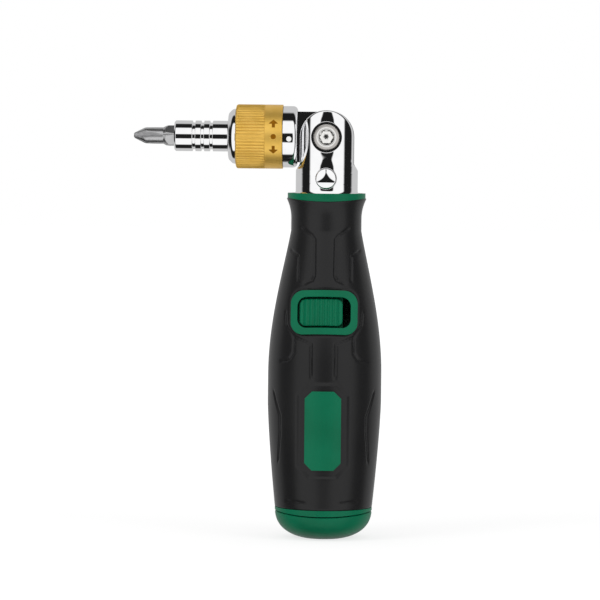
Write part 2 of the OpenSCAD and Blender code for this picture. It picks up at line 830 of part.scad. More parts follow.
module head_body() {
    color(chrome) along_head() difference() {
        union() {
            rounded_disc(barrel_r, barrel_back, barrel_front, barrel_round, true);
            translate([0, 0, barrel_front - over])
                cylinder(r = body_r, h = selector_end - barrel_front + over);
            translate([-tongue_r, -tongue_t / 2, 0])
                cube([2 * tongue_r, tongue_t, barrel_back + barrel_round]);
            rotate([90, 0, 0]) cylinder(r = tongue_r, h = tongue_t, center = true);
        }
        rotate([90, 0, 0]) cylinder(r = pivot_r + run_gap, h = 2 * tongue_t, center = true);
        for (i = [0 : notch_count - 1])
            rotate([0, 180 * i / (notch_count - 1), 0])
                translate([-tongue_r - over, 0, 0]) rotate([0, 90, 0])
                    cylinder(r = notch_r, h = notch_depth + over);
        translate([0, 0, barrel_back + bore_offset])
            cylinder(r = journal_r + 2 * run_gap, h = selector_end);
        translate([0, 0, barrel_back + bush_offset]) cylinder(r = rear_bush_r, h = selector_end);
        translate([0, 0, room_back]) cylinder(r = room_r, h = selector_end);
        translate([0, 0, room_front]) cylinder(r = spigot_r, h = selector_end);
        sector(pocket_outer_r, pocket_span, room_back + face_gap, room_front + face_gap);
        difference() {
            sector(body_r + over, selector_turn + finger_span + finger_play, gear_end - face_gap,
                   selector_end + over);
            translate([0, 0, barrel_front]) cylinder(r = spigot_r, h = selector_end);
        }
        for (side = [-1, 1]) {
            translate([at_pin(side)[0], at_pin(side)[1], room_back - pin_depth])
                cylinder(r = pawl_pin_r, h = pin_depth + over);
            translate([pawl_spring_x, side * pawl_spring_y, (pawl_back + pawl_end) / 2])
                rotate([0, 90, 0]) cylinder(r = pawl_spring_r + 3 * pawl_spring_wire,
                                            h = pawl_spring_seat - pawl_spring_x);
        }
        rotate([0, 0, 180]) translate([detent_floor, 0, detent_s]) rotate([0, 90, 0])
            cylinder(r = ball_r + run_gap, h = body_r);
    }
}

mark_r = 0.85;
mark_turn = 4;
mark_offset = 2.6;
mark_proud = 0.05;
module index_mark() {
    color("white") along_head() rotate([0, 0, 270 - mark_turn]) intersection() {
        translate([0, 0, barrel_back + mark_offset]) rotate([0, 90, 0])
            cylinder(r = mark_r, h = barrel_r + over);
        difference() {
            translate([0, 0, barrel_back]) cylinder(r = barrel_r + mark_proud, h = barrel_l);
            translate([0, 0, barrel_back]) cylinder(r = barrel_r, h = barrel_l);
        }
    }
}

cap_round = 1;
module front_cap() {
    color(chrome) along_head() difference() {
        union() {
            rounded_disc(cap_r, selector_end, cap_end, cap_round, false);
            translate([0, 0, room_front + face_gap])
                cylinder(r = spigot_r, h = spigot_l);
        }
        translate([0, 0, room_front - over]) cylinder(r = bush_r, h = cap_end);
    }
}

knurl_l = 9.7;
knurl_depth = 0.3;
knurl_sink = 0.05;
knurl_bevel = 0.5;
knurl_root_r = selector_r - knurl_depth - 2 * knurl_sink;
module selector_ring() {
    back = barrel_front + 1.5 * face_gap;
    front = selector_end - 1.5 * face_gap;
    color(gold) along_head() difference() {
        union() {
            translate([0, 0, back]) cylinder(r = selector_r, h = front - knurl_l - back);
            translate([0, 0, front - knurl_l - over])
                linear_extrude(knurl_l - knurl_bevel + over)
                    polygon(toothed(selector_r - knurl_sink, knurl_depth, knurl_count));
            translate([0, 0, front - knurl_bevel])
                cylinder(r1 = knurl_root_r, r2 = knurl_root_r - knurl_bevel, h = knurl_bevel);
        }
        difference() {
            translate([0, 0, barrel_back]) cylinder(r = body_r + run_gap, h = selector_end);
            intersection() {
                sector(selector_r, finger_span, gear_end, room_front - face_gap);
                difference() {
                    cylinder(r = selector_r, h = selector_end);
                    translate([0, 0, -over]) cylinder(r = finger_r, h = 2 * selector_end);
                }
            }
        }
        for (a = [-selector_turn, 0, selector_turn]) rotate([0, 0, 180 + a])
            translate([body_r - ball_r / 4, 0, detent_s]) sphere(r = ball_r + run_gap);
    }
}

module rear_bush() {
    color(brass) along_head() difference() {
        translate([0, 0, barrel_back + bush_offset])
            cylinder(r = rear_bush_r, h = room_back - barrel_back - bush_offset);
        translate([0, 0, barrel_back]) cylinder(r = journal_r + run_gap, h = selector_end);
    }
}

module front_bush() {
    color(brass) along_head() difference() {
        translate([0, 0, room_front + 2 * face_gap])
            cylinder(r = bush_r, h = cap_end - room_front - 4 * face_gap);
        translate([0, 0, barrel_back]) cylinder(r = front_journal_r + run_gap, h = 2 * cap_end);
    }
}

module thrust_washer() {
    color(brass) along_head() difference() {
        translate([0, 0, room_front - washer_t]) cylinder(r = room_r, h = washer_t);
        translate([0, 0, barrel_back]) cylinder(r = front_journal_r + run_gap, h = cap_end);
    }
}

module detent_ball() {
    color(steel) along_head() rotate([0, 0, 180])
        translate([body_r - ball_r, 0, detent_s]) sphere(r = ball_r);
}

detent_wire = 0.12;
detent_turns = 3;
module detent_spring() {
    color(steel) along_head() rotate([0, 0, 180])
        translate([detent_floor, 0, detent_s]) rotate([0, 90, 0])
            coil_spring(0.7 * ball_r, detent_wire, body_r - 2 * ball_r - detent_floor, detent_turns);
}

module pawl_pins() {
    color(steel) along_head() for (side = [-1, 1])
        translate([at_pin(side)[0], at_pin(side)[1], room_back - pin_depth])
            cylinder(r = pawl_pin_r, h = room_front - washer_t - room_back + pin_depth);
}

tip_in = 0.2;
tip_span = 3.2;
pawl_eye_r = 1;
pawl_head_x = 6.3;
pawl_head_y = 0.15;
pawl_spring_r = 0.45;
pawl_spring_wire = 0.1;
pawl_spring_y = 1.3;
pawl_spring_gap = 0.05;
pawl_spring_x = pawl_head_x + pawl_spring_gap;
pawl_spring_seat = 7.75;
pawl_spring_turns = 3;

// Pawl on the +Y side: a tooth in the wheel's first gap, an arm, and an eye round its pin
module pawl(side) {
    gap_angle = 180 / teeth;
    eye = at_pin(1);
    along_head() on_side(side) difference() {
        translate([0, 0, pawl_back]) linear_extrude(pawl_end - pawl_back) {
            polygon([
                polar(gear_r - tooth_depth + tip_in, gap_angle),
                polar(gear_r + 0.6 * tip_in, gap_angle - tip_span),
                [pawl_head_x, pawl_head_y],
                [pawl_head_x, pawl_spring_y + 2 * pawl_spring_r],
                eye + [pawl_eye_r, 0],
                eye + [-0.85 * pawl_eye_r, -0.55 * pawl_eye_r],
                polar(gear_r + 0.6 * tip_in, gap_angle + tip_span)
            ]);
            translate(eye) circle(pawl_eye_r);
        }
        translate([eye[0], eye[1], 0]) cylinder(r = pawl_pin_r + run_gap, h = cap_end);
    }
}

module on_side(side) {
    if (side > 0) children();
    if (side < 0) mirror([0, 1, 0]) children();
}

module pawl_a() {
    color(steel) pawl(1);
}

module pawl_b() {
    color(steel) pawl(-1);
}

module pawl_spring(side) {
    color(steel) along_head()
        translate([pawl_spring_x, side * pawl_spring_y, (pawl_back + pawl_end) / 2])
            rotate([0, 90, 0])
                coil_spring(pawl_spring_r, pawl_spring_wire, pawl_spring_seat - pawl_spring_x,
                            pawl_spring_turns);
}

module pawl_spring_a() {
    pawl_spring(1);
}

module pawl_spring_b() {
    pawl_spring(-1);
}

// Spindle and bit holder

journal_back = barrel_back + bore_offset + 2 * face_gap;
module spindle() {
    color(steel) along_head() {
        translate([0, 0, journal_back])
            cylinder(r = journal_r, h = gear_back - journal_back);
        translate([0, 0, gear_back]) cylinder(r = spindle_r, h = gear_end - gear_back);
        translate([0, 0, gear_end]) cylinder(r = front_journal_r, h = cap_end + face_gap - gear_end);
        translate([0, 0, cap_end + face_gap]) cylinder(r = nose_r, h = nose_l);
    }
}

module ratchet_gear() {
    color(steel) along_head() difference() {
        translate([0, 0, gear_back]) linear_extrude(gear_end - gear_back)
            polygon(toothed(gear_r, tooth_depth, teeth));
        translate([0, 0, gear_back - over]) cylinder(r = spindle_r, h = gear_end - gear_back + 2 * over);
    }
}

groove_w = 1;
groove_depth = 0.65;
groove_pitch = 2.9;
groove_start = 6.5;
sleeve_chamfer = 0.5;
clip_groove_r = 4.45;
clip_w = 0.8;
clip_back = 3.4;
module bit_sleeve() {
    back = cap_end + 2 * face_gap;
    color(chrome) along_head() difference() {
        union() {
            translate([0, 0, back]) cylinder(r = sleeve_r, h = sleeve_end - sleeve_chamfer - back);
            translate([0, 0, sleeve_end - sleeve_chamfer])
                cylinder(r1 = sleeve_r, r2 = sleeve_r - sleeve_chamfer, h = sleeve_chamfer);
        }
        for (i = [0 : 2])
            translate([0, 0, sleeve_end - groove_start - i * groove_pitch - groove_w / 2])
                difference() {
                    cylinder(r = sleeve_r + over, h = groove_w);
                    translate([0, 0, -over])
                        cylinder(r = sleeve_r - groove_depth, h = groove_w + 2 * over);
                }
        translate([0, 0, back - over]) cylinder(r = nose_r, h = nose_l + over - face_gap);
        translate([0, 0, back + nose_l - face_gap - over])
            cylinder(r = magnet_r, h = bit_back - back - nose_l + face_gap + over);
        translate([0, 0, bit_back - 2 * face_gap]) rotate([0, 0, bit_turn])
            cylinder(r = (bit_af + 2 * hex_gap) / sqrt(3), h = 2 * bit_l, $fn = 6);
        translate([0, 0, sleeve_end - clip_back - clip_w])
            cylinder(r = clip_groove_r, h = clip_w);
    }
}

module bit_magnet() {
    color(steel) along_head() translate([0, 0, bit_back - 2 * face_gap - magnet_t])
        cylinder(r = magnet_r, h = magnet_t);
}

module bit_clip() {
    color(steel) along_head() difference() {
        translate([0, 0, sleeve_end - clip_back - clip_w + face_gap])
            cylinder(r = clip_groove_r, h = clip_w - 2 * face_gap);
        cylinder(r = (bit_af + 2 * hex_gap) / sqrt(3) + face_gap, h = sleeve_end);
        translate([0, -clip_w / 2, sleeve_end - clip_back - clip_w])
            cube([2 * clip_groove_r, clip_w, 2 * clip_w]);
    }
}

module driver_bit() {
    color(steel) along_head() translate([0, 0, bit_back]) rotate([0, 0, bit_turn]) screw_bit(true);
}

handle_core();
grip_sleeve();
end_cap();
latch_slider();
latch_plate();
latch_spring();
bit_carrier();
catch_post();
post_clip();
spare_bits();
ejector_spring();
fork();
stem_pin();
pivot_screw();
pivot_nut();
lock_button();
button_spring();
lock_plunger();
plunger_spring();
head_body();
index_mark();
front_cap();
selector_ring();
rear_bush();
front_bush();
thrust_washer();
detent_ball();
detent_spring();
pawl_pins();
pawl_a();
pawl_b();
pawl_spring_a();
pawl_spring_b();
spindle();
ratchet_gear();
bit_sleeve();
bit_magnet();
bit_clip();
driver_bit();
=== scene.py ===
import math
import bmesh
import bpy
import numpy as np
from mathutils import Matrix, Vector


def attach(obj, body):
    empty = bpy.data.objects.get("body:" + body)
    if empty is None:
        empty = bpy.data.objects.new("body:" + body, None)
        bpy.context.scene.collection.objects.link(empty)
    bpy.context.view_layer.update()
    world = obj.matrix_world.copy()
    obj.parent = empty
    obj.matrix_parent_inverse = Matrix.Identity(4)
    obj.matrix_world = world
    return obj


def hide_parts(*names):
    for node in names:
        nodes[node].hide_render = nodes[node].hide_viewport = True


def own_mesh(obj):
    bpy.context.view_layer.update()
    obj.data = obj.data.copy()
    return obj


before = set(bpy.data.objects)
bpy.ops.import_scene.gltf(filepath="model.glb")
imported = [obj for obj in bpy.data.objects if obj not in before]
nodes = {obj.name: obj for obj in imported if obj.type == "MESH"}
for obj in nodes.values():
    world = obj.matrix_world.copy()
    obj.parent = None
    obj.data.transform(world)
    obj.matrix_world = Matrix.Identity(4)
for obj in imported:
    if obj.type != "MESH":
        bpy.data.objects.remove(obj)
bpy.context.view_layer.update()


# Studio: the tool stands on a white sweep inside a large white tent. The tent has a round
# hole for the lens and a dark gap between its front and its back, and polished metal shows
# them as the dark lines down its middle and along its sides.
class Value:
    """A shader socket that works in Python sums: each sum adds the Math node for it."""

    def __init__(self, tree, socket):
        self.tree, self.socket = tree, socket

    def node(self, kind, settings=None, out=0, **inputs):
        """Adds a node with its settings and its inputs, given by name or by place, i0 first."""
        made = self.tree.nodes.new("ShaderNode" + kind)
        for key, setting in (settings or {}).items():
            setattr(made, key, setting)
        for key, given in inputs.items():
            socket = made.inputs[int(key[1:]) if key[1:].isdigit() else key.replace("_", " ")]
            if isinstance(given, Value):
                self.tree.links.new(given.socket, socket)
            else:
                socket.default_value = given
        return Value(self.tree, made.outputs[out]) if made.outputs else None

    def math(self, operation, *others):
        """A Math node with this value first and the others after it."""
        inputs = {f"i{k}": other for k, other in enumerate((self, *others))}
        return self.node("Math", {"operation": operation}, **inputs)

    def __add__(self, other):
        return self.math("ADD", other)

    def __mul__(self, other):
        return self.math("MULTIPLY", other)

    def __rsub__(self, other):
        return self * -1.0 + other

    def step(self, low, high):
        """0 below low, 1 above high, and a smooth rise between them."""
        return self.node("MapRange", {"interpolation_type": "SMOOTHSTEP"},
                         i0=self, i1=low, i2=high, i3=0.0, i4=1.0)

    def mix(self, first, second):
        """The first colour where this is 0, and the second where it is 1."""
        return self.node("Mix", {"data_type": "RGBA"}, out=2, i0=self, i6=first, i7=second)

    def surface(self, colour, rough, **more):
        """The shader of a piece: its colour, its roughness and what else it needs."""
        return self.node("BsdfPrincipled", Base_Color=colour, Roughness=rough, **more)


scene = bpy.context.scene
scene.view_settings.view_transform = "Standard"
world = bpy.data.worlds.new("tent")
scene.world = world
world.use_nodes = True
world.node_tree.nodes.clear()
tent_white = 1.0
tent_back = 0.58
tent_dark = 0.012
tent_fill = 0.75
camera_turn = math.radians(2.0)
hole_drop = math.radians(4.0)
lens_hole = (15.0, 20.0)
front_edge = (62.0, 70.0)
back_edge = (100.0, 112.0)
sky = Value(world.node_tree, None)
level_part = math.cos(hole_drop)
lens_side = (math.sin(camera_turn) * level_part, -math.cos(camera_turn) * level_part,
             -math.sin(hole_drop))
toward = sky.node("VectorMath", {"operation": "DOT_PRODUCT"}, out=1, i0=sky.node("TexCoord"),
                  i1=lens_side)
off_axis = toward.math("ARCCOSINE") * math.degrees(1.0)
front_part = off_axis.step(*lens_hole) * (1.0 - off_axis.step(*front_edge))
tent = front_part * (tent_white - tent_dark) + tent_dark
tent = tent + off_axis.step(*back_edge) * (tent_back - tent_dark)
seen = sky.node("LightPath")
mirrored = Value(world.node_tree, seen.socket.node.outputs["Is Glossy Ray"])
level = mirrored * tent + (1.0 - mirrored) * tent_fill
level = seen + (1.0 - seen) * level
shade = sky.node("CombineColor", i0=level, i1=level, i2=level)
sky.node("OutputWorld", Surface=sky.node("Background", Color=shade))

camera_data = bpy.data.cameras.new("camera")
camera = bpy.data.objects.new("camera", camera_data)
scene.collection.objects.link(camera)
scene.camera = camera
camera_aside, camera_back = -0.0085, 1.1988
eye_height, aim_height = 0.1335, 0.0792
turn_round = Matrix.Rotation(camera_turn, 3, "Z")
eye = turn_round @ Vector((camera_aside, -camera_back, eye_height))
aim = turn_round @ Vector((camera_aside, 0.0, aim_height))
view_width = 0.2
camera_roll = math.radians(0.6)
camera.location = eye
camera.rotation_euler = (aim - eye).to_track_quat("-Z", "Y").to_euler()
camera.rotation_euler.rotate_axis("Z", camera_roll)
camera_data.sensor_width = 36.0
camera_data.lens = camera_data.sensor_width * (aim - eye).length / view_width
camera_data.clip_start = 0.01


def disc_lamp(name, place, size, power):
    """A round soft lamp turned to the tool. Polished metal doesn't mirror it."""
    lamp = bpy.data.lights.new(name, "AREA")
    lamp.shape = "DISK"
    lamp.size = size
    lamp.energy = power
    holder = bpy.data.objects.new(name, lamp)
    holder.location = place
    holder.rotation_euler = (aim - Vector(place)).to_track_quat("-Z", "Y").to_euler()
    holder.visible_glossy = False
    scene.collection.objects.link(holder)


disc_lamp("left_lamp", (-0.6, -0.5, 0.5), 0.4, 2.0)
disc_lamp("right_lamp", (0.6, -0.4, 0.4), 0.4, 1.2)


# Floor: a pale plain sweep. The camera sees it fade to white a little way off, and near the
# tool it keeps the soft shadow.
mm = 0.001


def finish_of(name, paint):
    """A material whose shader paint works out from a start value and the piece's own place."""
    made = bpy.data.materials.new(name)
    made.use_nodes = True
    made.node_tree.nodes.clear()
    start = Value(made.node_tree, None)
    place = start.node("TexCoord", out=3)
    start.node("OutputMaterial", Surface=paint(start, place))
    return made


def mesh_piece(name, points, faces):
    """An object from a list of points, in millimetres, and a list of faces."""
    mesh = bpy.data.meshes.new(name)
    mesh.from_pydata((np.asarray(points, float) * mm).tolist(), [], np.asarray(faces).tolist())
    piece = bpy.data.objects.new(name, mesh)
    scene.collection.objects.link(piece)
    return piece


floor_half = 4000.0
floor_shade = (0.9, 0.9, 0.9, 1.0)
shadow_reach = (0.1, 0.34)
shadow_share = 0.35
floor_white = 1.12


def floor_paint(start, place):
    """Diffuse grey, and to the camera white emission that takes over with the distance."""
    far = start.node("VectorMath", {"operation": "LENGTH"}, out=1, i0=place)
    share = far.step(*shadow_reach) * shadow_share + (1.0 - shadow_share)
    seen = start.node("LightPath")
    grey = start.node("BsdfDiffuse", Color=floor_shade)
    white = start.node("Emission", Strength=floor_white)
    return start.node("MixShader", i0=seen * share, i1=grey, i2=white)


floor_corners = np.array([(-1, -1, 0), (1, -1, 0), (1, 1, 0), (-1, 1, 0)]) * floor_half
floor = mesh_piece("floor", floor_corners, [(0, 1, 2, 3)])
floor.data.materials.append(finish_of("floor", floor_paint))
floor.visible_glossy = False


# End cap: moulded green plastic, a dome with a flat foot. Its upper edge follows the arched
# joint under the core, and the magazine's carrier is seated in it.
rim_r = 16.2
rim_z = 10.3
cap_drop = 8.3
joint_arch_r = 128.0
joint_gap = 0.3
dome_depth = 10.8
dome_power = 2.5
carrier_r = 12.7
carrier_z = 7.0
cap_edge = 0.6
green_deep, green_light = (0.0003, 0.122, 0.056, 1.0), (0.0005, 0.142, 0.067, 1.0)


def noise(start, place, size, detail=2.0):
    """Noise whose lumps are about size millimetres across."""
    return start.node("TexNoise", Vector=place, Scale=1.0 / (size * mm), Detail=detail)


def green_paint(start, place):
    """Satin moulded plastic: fine spark texture and slow changes of depth and gloss."""
    slow = noise(start, place, 14.0)
    fine = noise(start, place, 0.16, 1.0)
    colour = slow.step(0.3, 0.7).mix(green_deep, green_light)
    rough = slow * 0.08 + fine * 0.06 + 0.3
    bump = start.node("Bump", Strength=0.25, Distance=0.02 * mm, Height=fine)
    return start.surface(colour, rough, Normal=bump, IOR=1.26)


green = finish_of("green_plastic", green_paint)
weld_gap = 1e-7


def grid_faces(rows, columns, around=True, closed=False):
    """Quads between neighbouring points of a grid; around joins its last column to its first."""
    r = np.arange(rows if closed else rows - 1)[:, None]
    c = np.arange(columns if around else columns - 1)[None, :]
    up, along = (r + 1) % rows, (c + 1) % columns
    corners = [r * columns + c, r * columns + along, up * columns + along, up * columns + c]
    return np.stack(corners, -1).reshape(-1, 4)


def grid_piece(name, points, around=True, closed=False):
    """A surface from a grid of points. Points that coincide are merged, so poles are closed;
    closed joins the last row to the first."""
    rows, columns = points.shape[:2]
    piece = mesh_piece(name, points.reshape(-1, 3), grid_faces(rows, columns, around, closed))
    weld(piece)
    return piece


def weld(piece):
    """Merges coinciding points and turns the faces outwards."""
    mesh = bmesh.new()
    mesh.from_mesh(piece.data)
    bmesh.ops.remove_doubles(mesh, verts=mesh.verts, dist=weld_gap)
    bmesh.ops.recalc_face_normals(mesh, faces=mesh.faces)
    mesh.to_mesh(piece.data)
    mesh.free()


def finish_piece(piece, material, slot, body, *replaced, crease=38.0):
    """Gives a piece its finish, smooth faces with creases, and its body. Its slot is not used."""
    piece.data.materials.clear()
    piece.data.materials.append(material)
    piece.data.polygons.foreach_set("use_smooth", [True] * len(piece.data.polygons))
    piece.data.set_sharp_from_angle(angle=math.radians(crease))
    weigh = piece.modifiers.new("weigh", "WEIGHTED_NORMAL")
    weigh.keep_sharp = True
    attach(piece, body)
    if replaced:
        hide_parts(*replaced)


def under_arch(x, low, radius, gap=0.0):
    """Height of the underside of a cylinder along Y whose lowest line is at low."""
    return low + radius - np.sqrt((radius + gap) ** 2 - x ** 2)


def dome_radius(z):
    """Superellipse: 1 minus the share of the depth to a power, to the power's root."""
    return rim_r * (1 - ((rim_z - z) / dome_depth).clip(0, 1) ** dome_power) ** (1 / dome_power)


settle_rounds = 4


def round_angles(count):
    """Even angles over a full turn."""
    return np.linspace(0, 2 * math.pi, count, endpoint=False)


def end_cap_points(turns=160, rises=40, edge_steps=5):
    """Foot, dome, rounded upper edge, joint face and seat, carried round the axis. The edge's
    radius and its height under the arch depend on each other, and settle in a few rounds."""
    a = round_angles(turns)
    r_top = np.full(turns, rim_r)
    for _ in range(settle_rounds):
        top = under_arch(r_top * np.cos(a), cap_drop, joint_arch_r, joint_gap)
        r_top = dome_radius(top)
    rows = [(np.zeros(turns), np.zeros(turns))]
    for t in np.linspace(0, 1, rises) ** 2:
        z = (top - cap_edge) * t
        rows.append((dome_radius(z), z))
    for t in np.linspace(0, math.pi / 2, edge_steps)[1:]:
        z = top - cap_edge + cap_edge * math.sin(t)
        rows.append((dome_radius(z) - cap_edge * (1 - math.cos(t)), z))
    inner = np.full(turns, carrier_r)
    rows.append((inner, under_arch(inner * np.cos(a), cap_drop, joint_arch_r, joint_gap)))
    rows.append((inner, np.full(turns, carrier_z)))
    rows.append((np.zeros(turns), np.full(turns, carrier_z)))
    return np.array([np.stack([r * np.cos(a), r * np.sin(a), z], -1) for r, z in rows])


end_cap = grid_piece("end_cap_shell", end_cap_points())
finish_piece(end_cap, green, "green_plastic", "magazine", "end_cap")


# Core: the handle's body, moulded in hard green plastic. What shows of it is the ring under the
# fork, the band round the grip's arched upper edge, the rim under the grip, the switch frame
# and the blank window.
core_bevel = 0.5


def merged_copy(name, node, flat=0.0):
    """A copy of a CAD node: its triangles merged, and joined where they meet flatter than flat."""
    source = nodes[node].data
    points = np.empty(len(source.vertices) * 3)
    source.vertices.foreach_get("co", points)
    faces = [list(p.vertices) for p in source.polygons]
    piece = mesh_piece(name, points.reshape(-1, 3) / mm, faces)
    mesh = bmesh.new()
    mesh.from_mesh(piece.data)
    bmesh.ops.remove_doubles(mesh, verts=mesh.verts, dist=10 * weld_gap)
    if flat:
        angle = math.radians(flat)
        bmesh.ops.dissolve_limit(mesh, angle_limit=angle, verts=mesh.verts, edges=mesh.edges)
    mesh.to_mesh(piece.data)
    mesh.free()
    return piece


def worked_copy(name, node, width, segments=3, angle=35.0):
    """A merged copy of a CAD node with its edges rounded."""
    piece = merged_copy(name, node, flat=1.0)
    bevel = piece.modifiers.new("edges", "BEVEL")
    bevel.width = width * mm
    bevel.segments = segments
    bevel.limit_method = "ANGLE"
    bevel.angle_limit = math.radians(angle)
    bevel.miter_outer = "MITER_ARC"
    return piece


core = worked_copy("core_body", "handle_core", core_bevel)
finish_piece(core, green, "green_plastic", "handle", "handle_core")


# Soft grip: black rubber moulded over the core, two millimetres thick. Grooves part its
# front into panels, a soft rim is sunk round the window, and it leaves holes for the window
# and for the switch frame.
handle_h = 114.9
lip_z = 113.3
waist_r = 11.7
belly_r = 18.9
lip_r = 13.35
waist_top, waist_low, belly_top, belly_low = (handle_h * s for s in (0.928, 0.893, 0.475, 0.4))
shoulder_power, fall_power = 1.1, 1.4
lip_low = 112.3
lip_arch_r = 90.0
grip_t = 1.95
grip_edge = 0.45
plate_w, plate_h, plate_z, plate_cut = 12.0, 26.2, 36.9, 2.4
plate_rim, plate_rim_depth = 2.5, 0.4
plate_rim_fade = (0.6, 0.8)
frame_w, frame_h, frame_z, frame_corner = 22.0, 14.6, 75.995, 4.2
hole_margin = 1.0
groove_w = 0.42
groove_depth = 0.34
groove_fade = 2.2
frame_seam_depth = 0.8 * groove_depth
above_window, above_frame = 55.0, 95.0
rubber_deep, rubber_worn = (0.011, 0.011, 0.0115, 1.0), (0.014, 0.014, 0.0145, 1.0)
front_grooves = [
    [(8.7, 104.2), (4.6, 101.3), (3.4, 99.8), (3.3, 87.9), (4.0, 86.4), (7.6, 84.9)],
    [(11.9, 96.5), (8.8, 94.3), (8.8, 85.1)],
    [(12.9, 76.7), (12.5, 71.6), (9.8, 67.8), (4.0, 65.6), (3.9, 53.3)],
    [(10.9, 69.2), (9.8, 67.4), (9.9, 62.5), (11.2, 60.4), (12.4, 59.7), (15.0, 59.4)],
    [(16.9, 50.4), (14.3, 41.5), (14.2, 36.0), (14.6, 31.0), (15.0, 24.9)],
    [(4.5, 12.8), (12.8, 13.2)],
]
back_grooves = front_grooves[4:5]


def grip_radius(z):
    """A flared lip, a flat waist, a sine curve to the belly and a power curve to the rim."""
    lip = waist_r + (lip_r - waist_r) * ((z - waist_top) / (lip_z - waist_top)).clip(0, 1) ** 2
    share = ((waist_low - z) / (waist_low - belly_top)).clip(0, 1) ** shoulder_power
    swell = waist_r + (belly_r - waist_r) * np.sin(math.pi / 2 * share)
    share = ((belly_low - z) / (belly_low - rim_z)).clip(0, 1) ** fall_power
    fall = belly_r - (belly_r - rim_r) * share
    return np.where(z > waist_top, lip, np.where(z > belly_top, swell, fall))


def smooth_step(value, low, high):
    """0 below low and 1 above high; between them 3 times the share squared less twice cubed."""
    share = ((value - low) / (high - low)).clip(0, 1)
    return share * share * (3 - 2 * share)


def line_distance(across, z, line):
    """Least distance from each point to the segments of a line on the unrolled surface, and
    how much of the groove is left there: it runs out towards the line's two ends."""
    x, y = np.array(line).T
    x = grip_radius(y) * np.arcsin((x / grip_radius(y)).clip(-1, 1))
    least = np.full(across.shape, np.inf)
    for x0, y0, x1, y1 in zip(x[:-1], y[:-1], x[1:], y[1:]):
        length = math.hypot(x1 - x0, y1 - y0)
        along = ((across - x0) * (x1 - x0) + (z - y0) * (y1 - y0)) / length ** 2
        along = along.clip(0, 1)
        away = np.hypot(across - x0 - along * (x1 - x0), z - y0 - along * (y1 - y0))
        least = np.minimum(least, away)
    ends = np.minimum(np.hypot(across - x[0], z - y[0]), np.hypot(across - x[-1], z - y[-1]))
    return least, smooth_step(ends, 0.0, groove_fade)


def outside_plate(across, z):
    """Distance outside the window's cut-cornered outline; negative within it."""
    up = abs(z - plate_z)
    corner = (abs(across) + up - plate_w / 2 - plate_h / 2 + plate_cut) / math.sqrt(2)
    return np.maximum(np.maximum(abs(across) - plate_w / 2, up - plate_h / 2), corner)


def outside_round(across, up, half_w, half_h, corner):
    """Distance outside a rectangle with round corners; negative within it."""
    dx = abs(across) - half_w + corner
    dz = abs(up) - half_h + corner
    outer = np.hypot(dx.clip(0), dz.clip(0))
    return outer + np.minimum(np.maximum(dx, dz), 0) - corner


def outside_frame(across, z):
    """Distance outside the switch frame's outline; negative within it."""
    return outside_round(across, z - frame_z, frame_w / 2, frame_h / 2, frame_corner)


def spaced(*stretches):
    """Angles in degrees: each stretch is its start, its end and its step."""
    return np.concatenate([np.arange(a, b - step / 2, step) for a, b, step in stretches])


def grip_grid(angles, shares, inset, worked):
    """Points at each angle from the front and each share of the height under the arched lip.
    A worked grid sinks by the grooves, as bell curves, the window's rim and the round edges."""
    a = np.radians(angles)[None, :]
    top = np.full(a.shape, lip_low)
    for _ in range(settle_rounds):
        top = under_arch(grip_radius(top) * np.sin(a), lip_low, lip_arch_r)
    z = rim_z + shares[:, None] * (top - rim_z)
    r = grip_radius(z) - inset
    if worked:
        from_front = (a + math.pi) % (2 * math.pi) - math.pi
        across = abs(grip_radius(z) * from_front)
        behind = grip_radius(z) * math.pi - across
        sink = np.zeros(z.shape)
        for lines, side in ((front_grooves, across), (back_grooves, behind)):
            for line in lines:
                away, left = line_distance(side, z, line)
                sink = np.maximum(sink, groove_depth * left * np.exp(-(away / groove_w) ** 2))
        front = abs(from_front) < math.pi / 2
        inside = plate_rim - outside_plate(np.sin(a) * r, z)
        rim = smooth_step(inside, -plate_rim_fade[0], plate_rim_fade[1]) * plate_rim_depth
        from_frame = outside_frame(np.sin(a) * r, z)
        seam = frame_seam_depth * np.exp(-(from_frame / groove_w) ** 2)
        sink = np.maximum(sink, np.maximum(rim, seam) * front)
        edge = np.minimum(z - rim_z, top - z).clip(0, grip_edge)
        sink = sink + grip_edge - np.sqrt(grip_edge ** 2 - (grip_edge - edge) ** 2)
        r = r - sink
    return np.stack([r * np.sin(a), -r * np.cos(a), z], -1)


def grip_faces(points):
    """A grid's points, and its faces less those over the window and the switch frame."""
    rows, columns = points.shape[:2]
    faces = grid_faces(rows, columns)
    flat = points.reshape(-1, 3)
    middle = flat[faces].mean(1)
    front = middle[:, 1] < 0
    gone = front & (outside_plate(middle[:, 0], middle[:, 2]) < -hole_margin)
    gone |= front & (outside_frame(middle[:, 0], middle[:, 2]) < -hole_margin)
    return flat, faces[~gone]


# Rows stand close together at both edges, and columns in front, where the grooves are.
edge_rows = np.array([0.0, 0.04, 0.14, 0.28, 0.45]) / (lip_low - rim_z)
fine_rows = np.concatenate([edge_rows, np.linspace(0.008, 0.992, 300), 1 - edge_rows[::-1]])
fine_angles = spaced((-66, 66, 0.75), (66, 138, 1.3), (138, 222, 4.2), (222, 294, 1.3))
outer_points, outer_faces = grip_faces(grip_grid(fine_angles, fine_rows, 0.0, True))
inner_rows, inner_angles = np.linspace(0, 1, 60), spaced((-180, 180, 5))
inner_points, inner_faces = grip_faces(grip_grid(inner_angles, inner_rows, grip_t, False))
grip = mesh_piece("soft_grip", np.concatenate([outer_points, inner_points]),
                  np.concatenate([outer_faces, inner_faces[:, ::-1] + len(outer_points)]))


